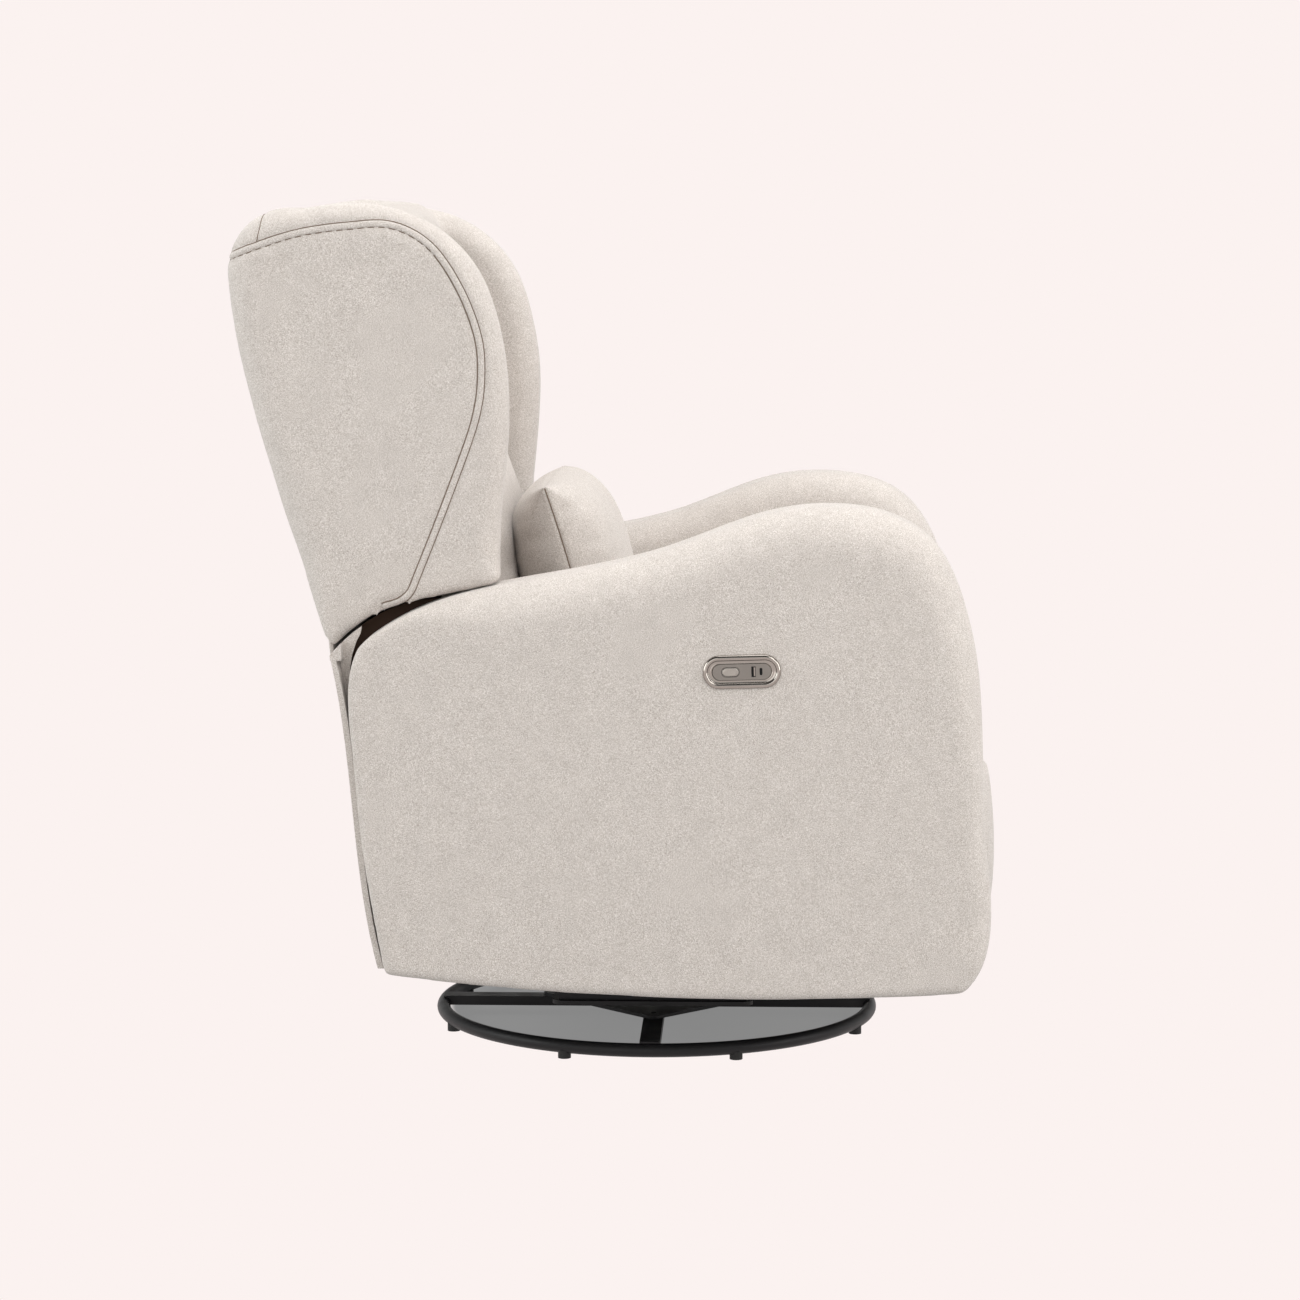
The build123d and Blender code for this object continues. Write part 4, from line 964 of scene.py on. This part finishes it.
def wing_trim(side, cover):
    """The flat welt round one wing panel, its topstitching, and the cross seam of the edge band; thin dark
    tubes in the grooves beside the welt and along the cross seam are painted shade.
    """
    name = "right" if side < 0 else "left"
    way = (-side, 0.0, 0.0)
    route = smooth_line(in_box(WELT_ROUTE, "wing_right"), 260)
    route = route[:int(len(route) * WELT_SHARE)]
    seat, _ = line_on_side(surface_of(cover), route, way)
    sink_seam(cover, seat, 0.011, 0.0034)
    band = band_seam(side, cover)
    sink_seam(cover, band, 0.007, 0.0016)
    tree = surface_of(cover)
    laid, facing = line_on_side(tree, route, way)
    facing = even_normals(facing)
    strip = welt("wing_welt_" + name, laid, facing, sizes().welt_width, WELT_HEIGHT)
    aside = np.cross(np.gradient(laid, axis=0), facing)
    aside /= np.linalg.norm(aside, axis=1)[:, None]
    grooves = []
    inward = np.sign((laid.mean(axis=0) - laid[len(laid) // 2]) @ aside[len(laid) // 2])
    for share in (0.60, -0.60):
        grooves.append(resting(tree, laid + aside * inward * sizes().welt_width * share))
    dashed = int(len(laid) * DASHED_SHARE)
    # Painted shade: dark tubes laid in the grooves beside the welt; the dashes are the topstitch threads.
    for order, groove, radius in (("inner", grooves[0][dashed:], 0.0009), ("outer", grooves[1], 0.00065)):
        edge = tube("wing_seam_shade_" + order + "_" + name, groove, radius)
        dress(edge, "upholstery", "back", finish="thread_and_seam_shade")
    dashes = grooves[0][:dashed + 1]
    dark_seam_trim = stitches("wing_stitches_" + name, dashes, sizes().stitch_length, STITCH_GAP, 0.00075)
    # Painted shade: a dark tube along the band's cross seam.
    band_seam_shade = tube("wing_band_seam_shade_" + name, resting(tree, band), 0.0006)
    dress(strip, "upholstery", "back")
    for piece in (dark_seam_trim, band_seam_shade):
        dress(piece, "upholstery", "back", finish="thread_and_seam_shade")


def band_seam(side, cover):
    """Line of the seam that crosses the edge band near the top rear of a wing."""
    tree = surface_of(cover)
    middle = Vector((side * 0.298, *in_box([(0.885, 0.905)], "wing_right")[0]))
    spots = []
    for step in range(25):
        angle = math.radians(-2 + 112 * step / 24)
        out = Vector((side * math.cos(angle), -0.16 * math.sin(angle), math.sin(angle))).normalized()
        place, _, _, _ = tree.ray_cast(middle + out * 0.3, -out, 0.3)
        if place is not None:
            spots.append(np.array(place))
    return smooth_line(spots, 40)


# ---------------------------------------------------------------- control
CONTROL_TILT = math.radians(-1.7)
# Width and height of the plate, its window for the switch, and the USB-C mouth laid on its side.
PLATE_SIZE = (0.0688, 0.0186)
SWITCH_WINDOW = (0.0214, 0.0118)
USB_C_MOUTH = (0.0089, 0.0033)
# Half the width and half the height of the USB-A mouth.
USB_A_HALVES = (0.00255, 0.00625)


def control_spot(y, z):
    """A point of the control's face, from its own level axes to the tilted ones."""
    low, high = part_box("control_bezel")
    middle = (low + high) / 2
    return (middle[1] + y * math.cos(CONTROL_TILT) - z * math.sin(CONTROL_TILT),
            middle[2] + y * math.sin(CONTROL_TILT) + z * math.cos(CONTROL_TILT))


def oval(width, height, count=96):
    """(y, z) points of a round-ended slot shape about its middle."""
    radius = height / 2
    straight = width / 2 - radius
    spots = []
    for place in range(count):
        angle = 2 * math.pi * (place + 0.5) / count
        y = math.cos(angle) * radius + (straight if math.cos(angle) >= 0 else -straight)
        spots.append((y, math.sin(angle) * radius))
    return spots


def box_middle(node):
    """Middle of a CAD node's width along y."""
    low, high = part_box(node)
    return (low[1] + high[1]) / 2


def control_bezel():
    """The nickel surround: a rounded outer ring and a dished slope down to the plate."""
    low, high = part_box("control_bezel")
    _, width, height = high - low
    face, seat = low[0], high[0]
    steps = [(0.0, 0.0, seat)]
    for step in range(11):
        share = step / 10
        back = 0.0024 * (1 - math.sin(math.pi * share) ** 0.8)
        steps.append((0.0122 * share, 0.0146 * share, face + back))
    steps += [(0.0180, 0.0190, face + 0.0016), (0.0225, 0.0212, face + 0.0018),
              (0.0236, 0.0222, face + 0.0026), (0.0236, 0.0222, seat)]
    points = []
    for narrower, lower, x in steps:
        points += [(x, *control_spot(y, z)) for y, z in oval(width - narrower, height - lower)]
    dress(loft("control_bezel_trim", points, len(steps), closed=True), "nickel", "chassis", "control_bezel")


def flat_plate(name, outlines, face, depth, round_over):
    """A plate with openings: the first outline is its rim and the others are its holes."""
    curve = bpy.data.curves.new(name, "CURVE")
    curve.dimensions = "2D"
    curve.fill_mode = "BOTH"
    curve.extrude = depth / 2 - round_over
    curve.bevel_depth = round_over
    curve.bevel_resolution = 2
    curve.offset = -round_over
    for outline in outlines:
        spline = curve.splines.new("POLY")
        spline.points.add(len(outline) - 1)
        for point, (y, z) in zip(spline.points, outline):
            point.co = (y, z, 0, 1)
        spline.use_cyclic_u = True
    holder = bpy.data.objects.new(name, curve)
    bpy.context.scene.collection.objects.link(holder)
    graph = bpy.context.evaluated_depsgraph_get()
    mesh = bpy.data.meshes.new_from_object(holder.evaluated_get(graph))
    bpy.data.objects.remove(holder)
    points = read_points(mesh)
    placed = [(face + depth / 2 - up, *control_spot(y, z)) for y, z, up in points]
    faces = [tuple(polygon.vertices) for polygon in mesh.polygons]
    return add_object(name, mesh_from(name, placed, faces))


def block(y, half, tall):
    """A rectangle about y, twice half wide and twice tall high."""
    return [(y + half, tall), (y - half, tall), (y - half, -tall), (y + half, -tall)]


def control_plate():
    """The plate inside the surround, with a round-ended window for the switch and two socket mouths."""
    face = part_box("control_insert")[0][0]
    middle = box_middle("control_bezel")
    switch = box_middle("rocker_switch") - middle
    usb_a = box_middle("usb_a_socket") - middle
    usb_c = box_middle("usb_c_socket") - middle
    window = [(y + switch, z) for y, z in oval(*SWITCH_WINDOW, 40)]
    mouth_a = block(usb_a, *USB_A_HALVES)
    mouth_c = [(z + usb_c, y) for y, z in oval(*USB_C_MOUTH, 32)]
    rim = oval(*PLATE_SIZE)
    piece = flat_plate("control_plate", (rim, window, mouth_a, mouth_c), face - 0.0004, 0.0022, 0.0002)
    dress(piece, "control_plastic", "chassis", "control_insert")
    # The wells behind the socket mouths are flat near-black plates: black socket insides, with painted
    # shade for their depth.
    for label, well in (("usb_a_well", mouth_a), ("usb_c_well", block(usb_c, 0.0017, 0.0045))):
        dress(flat_plate(label, (well,), face + 0.0001, 0.0016, 0.0001), "socket_metal", "chassis",
              finish="socket_black_and_shade")
    bar = [(usb_a + y, z) for y, z in
           ((-0.0003, 0.0052), (-0.0020, 0.0052), (-0.0020, -0.0052), (-0.0003, -0.0052))]
    dress(flat_plate("usb_a_tongue", (bar,), face - 0.0002, 0.0018, 0.0001), "nickel", "chassis")


def control_switch():
    """The round-ended rocker button, slightly dished along its length."""
    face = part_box("rocker_switch")[0][0] + 0.0010
    shift = box_middle("rocker_switch") - box_middle("control_bezel")
    steps = ((0.0198, 0.0102, 0.0052), (0.0198, 0.0102, 0.0012), (0.0195, 0.0099, 0.0005),
             (0.0187, 0.0091, 0.0000), (0.0120, 0.0060, 0.0001), (0.0060, 0.0030, 0.0002))
    points = []
    for width, height, back in steps:
        points += [(face + back, *control_spot(y + shift, z)) for y, z in oval(width, height, 40)]
    piece = loft("rocker_button", points, len(steps))
    dress(piece, "control_plastic", "rocker", "rocker_switch", finish="rocker_face")


# ---------------------------------------------------------------- operators
class ChairOperator(bpy.types.Operator):
    """Shared base of the chair operators."""

    bl_options = {"REGISTER", "UNDO"}


class GLIDER_OT_arms(ChairOperator):
    """Build the two arm covers"""

    bl_idname = "glider_chair.arms"
    bl_label = "Arm covers"

    def execute(self, context):
        arm_cover(-1, "arm_right", "arm_cover_right")
        arm_cover(1, "arm_left", "arm_cover_left")
        return {"FINISHED"}


class GLIDER_OT_back(ChairOperator):
    """Build the back cover with its wings, and the inner back cushion"""

    bl_idname = "glider_chair.back"
    bl_label = "Back and wings"

    def execute(self, context):
        cover = back_cover()
        for side in (-1, 1):
            wing_trim(side, cover)
        cushion_cover("back_cushion", "back", 0.010, 21)
        return {"FINISHED"}


class GLIDER_OT_cushions(ChairOperator):
    """Build the seat cushion, the footrest pad and the rear panel"""

    bl_idname = "glider_chair.cushions"
    bl_label = "Seat and footrest"

    def execute(self, context):
        cushion_cover("seat_cushion", "chassis", 0.010, 31)
        cushion_cover("footrest_pad", "footrest_panel", 0.008, 41)
        rear_cover()
        rear_gussets()
        board_wrap()
        back_hem()
        return {"FINISHED"}


class GLIDER_OT_pillow(ChairOperator):
    """Build the lumbar pillow"""

    bl_idname = "glider_chair.pillow"
    bl_label = "Lumbar pillow"

    def execute(self, context):
        pillow_cover()
        return {"FINISHED"}


class GLIDER_OT_control(ChairOperator):
    """Build the nickel control plate on the arm"""

    bl_idname = "glider_chair.control"
    bl_label = "Arm control"

    def execute(self, context):
        control_bezel()
        control_plate()
        control_switch()
        return {"FINISHED"}


class GLIDER_OT_hardware(ChairOperator):
    """Give every frame, base and mechanism part that shows its finish"""

    bl_idname = "glider_chair.hardware"
    bl_label = "Frame finishes"

    def execute(self, context):
        for name, node in frame["nodes"].items():
            if node.hide_render:
                continue
            slot = slot_of(name)
            node.data.materials.clear()
            node.data.materials.append(finish_for(slot))
        return {"FINISHED"}


def slot_of(node):
    """The record's material slot of a CAD node."""
    for part in frame["record"]["subparts"]:
        if part["node"] == node:
            return part["material_slot"]
    raise RuntimeError("the record has no material slot for node " + node)


class GLIDER_OT_stage(ChairOperator):
    """Set up the floor, backdrop, lamps and camera"""

    bl_idname = "glider_chair.stage"
    bl_label = "Stage"

    def execute(self, context):
        add_floor()
        surround_world()
        add_lamps()
        add_camera()
        context.scene.view_settings.view_transform = "Standard"
        return {"FINISHED"}


# ---------------------------------------------------------------- stage
# The painted shadow under the base, a grey patch of floor: how far its middle lies towards +x, and half its
# width.
SHADOW_PATCH_SHIFT = 0.060
SHADOW_PATCH_HALF = 0.252
# Grey of the emission that paints the shadow patch and makes it glow, for camera and reflected rays.
PAINTED_SHADOW_GLOW = (0.30, 0.30, 0.30)


def floor_finish():
    """Pale floor, plain further out; inside the ring a painted shadow: a grey patch that is mostly a
    glowing grey emission over some of the lit floor, which holds the real shadow.
    """
    finish, nodes, links, shader = new_finish("pale_floor_painted_shadow", **{
        "Roughness": 0.9, "Specular IOR Level": 0.1, "Base Color": rgba(colours().shade)})
    plain = add_node(nodes, "ShaderNodeEmission", Strength=1.0, Color=rgba(colours().floor))
    painted_glow = add_node(nodes, "ShaderNodeEmission", Strength=1.0, Color=rgba(PAINTED_SHADOW_GLOW))
    path = nodes.new("ShaderNodeLightPath")
    seen = add_node(nodes, "ShaderNodeMath", operation="MAXIMUM")
    spot = nodes.new("ShaderNodeTexCoord")
    ring_low, ring_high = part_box("base_ring")
    deep = (ring_high[1] - ring_low[1]) / 2 - 0.005
    patch = add_node(nodes, "ShaderNodeMapping", Location=(-SHADOW_PATCH_SHIFT / SHADOW_PATCH_HALF, 0, 0),
                     Scale=(1 / SHADOW_PATCH_HALF, 1 / deep, 0))
    reach = add_node(nodes, "ShaderNodeVectorMath", operation="LENGTH")
    fade = map_range(nodes, interpolation_type="SMOOTHSTEP", from_min=0.95, from_max=1.0)
    share = add_node(nodes, "ShaderNodeMath", operation="MULTIPLY")
    # Painted shadow: for camera and reflected rays the patch is mostly the glowing grey emission, laid over
    # some of the lit floor.
    glow_over_shadow = add_node(nodes, "ShaderNodeMixShader", Fac=0.78)
    inside = nodes.new("ShaderNodeMixShader")
    mix = nodes.new("ShaderNodeMixShader")
    wire(links,
         (path, "Is Camera Ray", seen, 0), (path, "Is Glossy Ray", seen, 1),
         (spot, "Object", patch, "Vector"), (patch, "Vector", reach, 0), (reach, "Value", fade, "Value"),
         (fade, "Result", share, 0), (seen, "Value", share, 1),
         (shader, "BSDF", glow_over_shadow, 1), (painted_glow, "Emission", glow_over_shadow, 2),
         (seen, "Value", inside, "Fac"), (shader, "BSDF", inside, 1), (glow_over_shadow, "Shader", inside, 2),
         (share, "Value", mix, "Fac"), (inside, "Shader", mix, 1), (plain, "Emission", mix, 2),
         (mix, "Shader", nodes["Material Output"], "Surface"))
    return finish


def lamp(name, place, target, size, power, tint):
    """A square soft lamp that faces a target."""
    data = bpy.data.lights.new(name, "AREA")
    data.shape = "SQUARE"
    data.size = size
    data.energy = power
    data.color = tint
    light = bpy.data.objects.new(name, data)
    bpy.context.scene.collection.objects.link(light)
    light.location = place
    light.rotation_euler = (Vector(target) - Vector(place)).to_track_quat("-Z", "Y").to_euler()


def add_floor():
    """A wide floor just under the chair's lowest faces, centred on the ring."""
    bpy.ops.mesh.primitive_plane_add(size=40, location=(0, box_middle("base_ring"), -0.0005))
    floor = bpy.context.object
    floor.name = "floor"
    floor.data.materials.append(floor_finish())


def surround_world():
    """Soft light from all round, a graded one for reflections, and a plain backdrop."""
    world = bpy.data.worlds.new("soft_surround")
    bpy.context.scene.world = world
    world.use_nodes = True
    nodes = world.node_tree.nodes
    surround = nodes["Background"]
    surround.inputs["Color"].default_value = (1.0, 0.975, 0.955, 1)
    surround.inputs["Strength"].default_value = 0.68
    backdrop = add_node(nodes, "ShaderNodeBackground", Color=rgba(colours().floor), Strength=1.0)
    mirrored = add_node(nodes, "ShaderNodeBackground", Color=(1.0, 0.985, 0.97, 1))
    path = nodes.new("ShaderNodeLightPath")
    way = nodes.new("ShaderNodeTexCoord")
    parts = nodes.new("ShaderNodeSeparateXYZ")
    ceiling = map_range(nodes, interpolation_type="SMOOTHSTEP",
                        from_min=0.02, from_max=0.62, to_min=0.95, to_max=0.10)
    shine = nodes.new("ShaderNodeMixShader")
    mix = nodes.new("ShaderNodeMixShader")
    wire(world.node_tree.links,
         (way, "Generated", parts, "Vector"), (parts, "Z", ceiling, "Value"),
         (ceiling, "Result", mirrored, "Strength"),
         (path, "Is Glossy Ray", shine, "Fac"), (surround, "Background", shine, 1),
         (mirrored, "Background", shine, 2),
         (path, "Is Camera Ray", mix, "Fac"), (shine, "Shader", mix, 1), (backdrop, "Background", mix, 2),
         (mix, "Shader", nodes["World Output"], "Surface"))


def add_lamps():
    """Large soft lamps round the chair, aimed at its middle."""
    middle_y = (cad_low[1] + cad_high[1]) / 2
    target = (0, middle_y, 0.5)
    lamp("key", (-2.6, middle_y - 2.2, 3.0), target, 2.4, 52, (1, 0.985, 0.965))
    lamp("overhead", (0.3, middle_y - 0.3, 3.4), target, 2.6, 60, (1, 0.99, 0.975))
    lamp("fill", (-3.4, middle_y + 1.2, 1.2), target, 2.2, 16, (1, 0.98, 0.96))
    lamp("rear", (-0.9, middle_y + 3.2, 1.5), target, 2.0, 46, (0.97, 1.0, 1.0))
    lamp("front", (-1.2, middle_y - 3.2, 1.3), target, 2.0, 34, (1, 0.99, 0.98))


def add_camera():
    """The camera: its place in metres, and its turn and pitch from level and straight towards +x."""
    data = bpy.data.cameras.new("camera")
    camera = bpy.data.objects.new("camera", data)
    bpy.context.scene.collection.objects.link(camera)
    data.sensor_width = 36.0
    data.lens = 100.88
    data.clip_start = 0.1
    data.clip_end = 200
    turn = math.radians(1.899)
    pitch = math.radians(-6.539)
    ahead = Vector((math.cos(turn) * math.cos(pitch), math.sin(turn) * math.cos(pitch), math.sin(pitch)))
    camera.location = (-4.632, -0.1889, 1.0058)
    camera.rotation_euler = ahead.to_track_quat("-Z", "Y").to_euler()
    bpy.context.scene.camera = camera


class GLIDER_PT_panel(bpy.types.Panel):
    """Sidebar panel with the chair's settings and build steps"""

    bl_idname = "GLIDER_PT_panel"
    bl_label = "Glider Chair"
    bl_space_type = "VIEW_3D"
    bl_region_type = "UI"
    bl_category = "Glider Chair"

    def draw(self, context):
        column = self.layout.column(align=True)
        for key in ("arm_roll", "wing_roll", "back_round", "welt_width", "stitch_length", "voxel"):
            column.prop(context.scene.glider_chair_sizes, key)
        for key in ("cover", "cover_pale", "cover_deep", "steel", "nickel", "shade", "floor"):
            column.prop(context.scene.glider_chair_colours, key)
        for operator in STEPS:
            column.operator(operator.bl_idname)


STEPS = (
    GLIDER_OT_arms, GLIDER_OT_back, GLIDER_OT_cushions, GLIDER_OT_pillow,
    GLIDER_OT_control, GLIDER_OT_hardware, GLIDER_OT_stage,
)
CLASSES = (ChairSizes, ChairColours, *STEPS, GLIDER_PT_panel)


def register():
    """Registers the classes and the scene settings."""
    for kind in CLASSES:
        bpy.utils.register_class(kind)
    bpy.types.Scene.glider_chair_sizes = bpy.props.PointerProperty(type=ChairSizes)
    bpy.types.Scene.glider_chair_colours = bpy.props.PointerProperty(type=ChairColours)


def unregister():
    """Removes the scene settings and the classes."""
    del bpy.types.Scene.glider_chair_colours
    del bpy.types.Scene.glider_chair_sizes
    for kind in reversed(CLASSES):
        bpy.utils.unregister_class(kind)


def main():
    """Builds the whole scene."""
    register()
    bpy.ops.glider_chair.arms()
    bpy.ops.glider_chair.back()
    bpy.ops.glider_chair.cushions()
    bpy.ops.glider_chair.pillow()
    bpy.ops.glider_chair.control()
    bpy.ops.glider_chair.hardware()
    bpy.ops.glider_chair.stage()


if __name__ == "__main__":
    main()
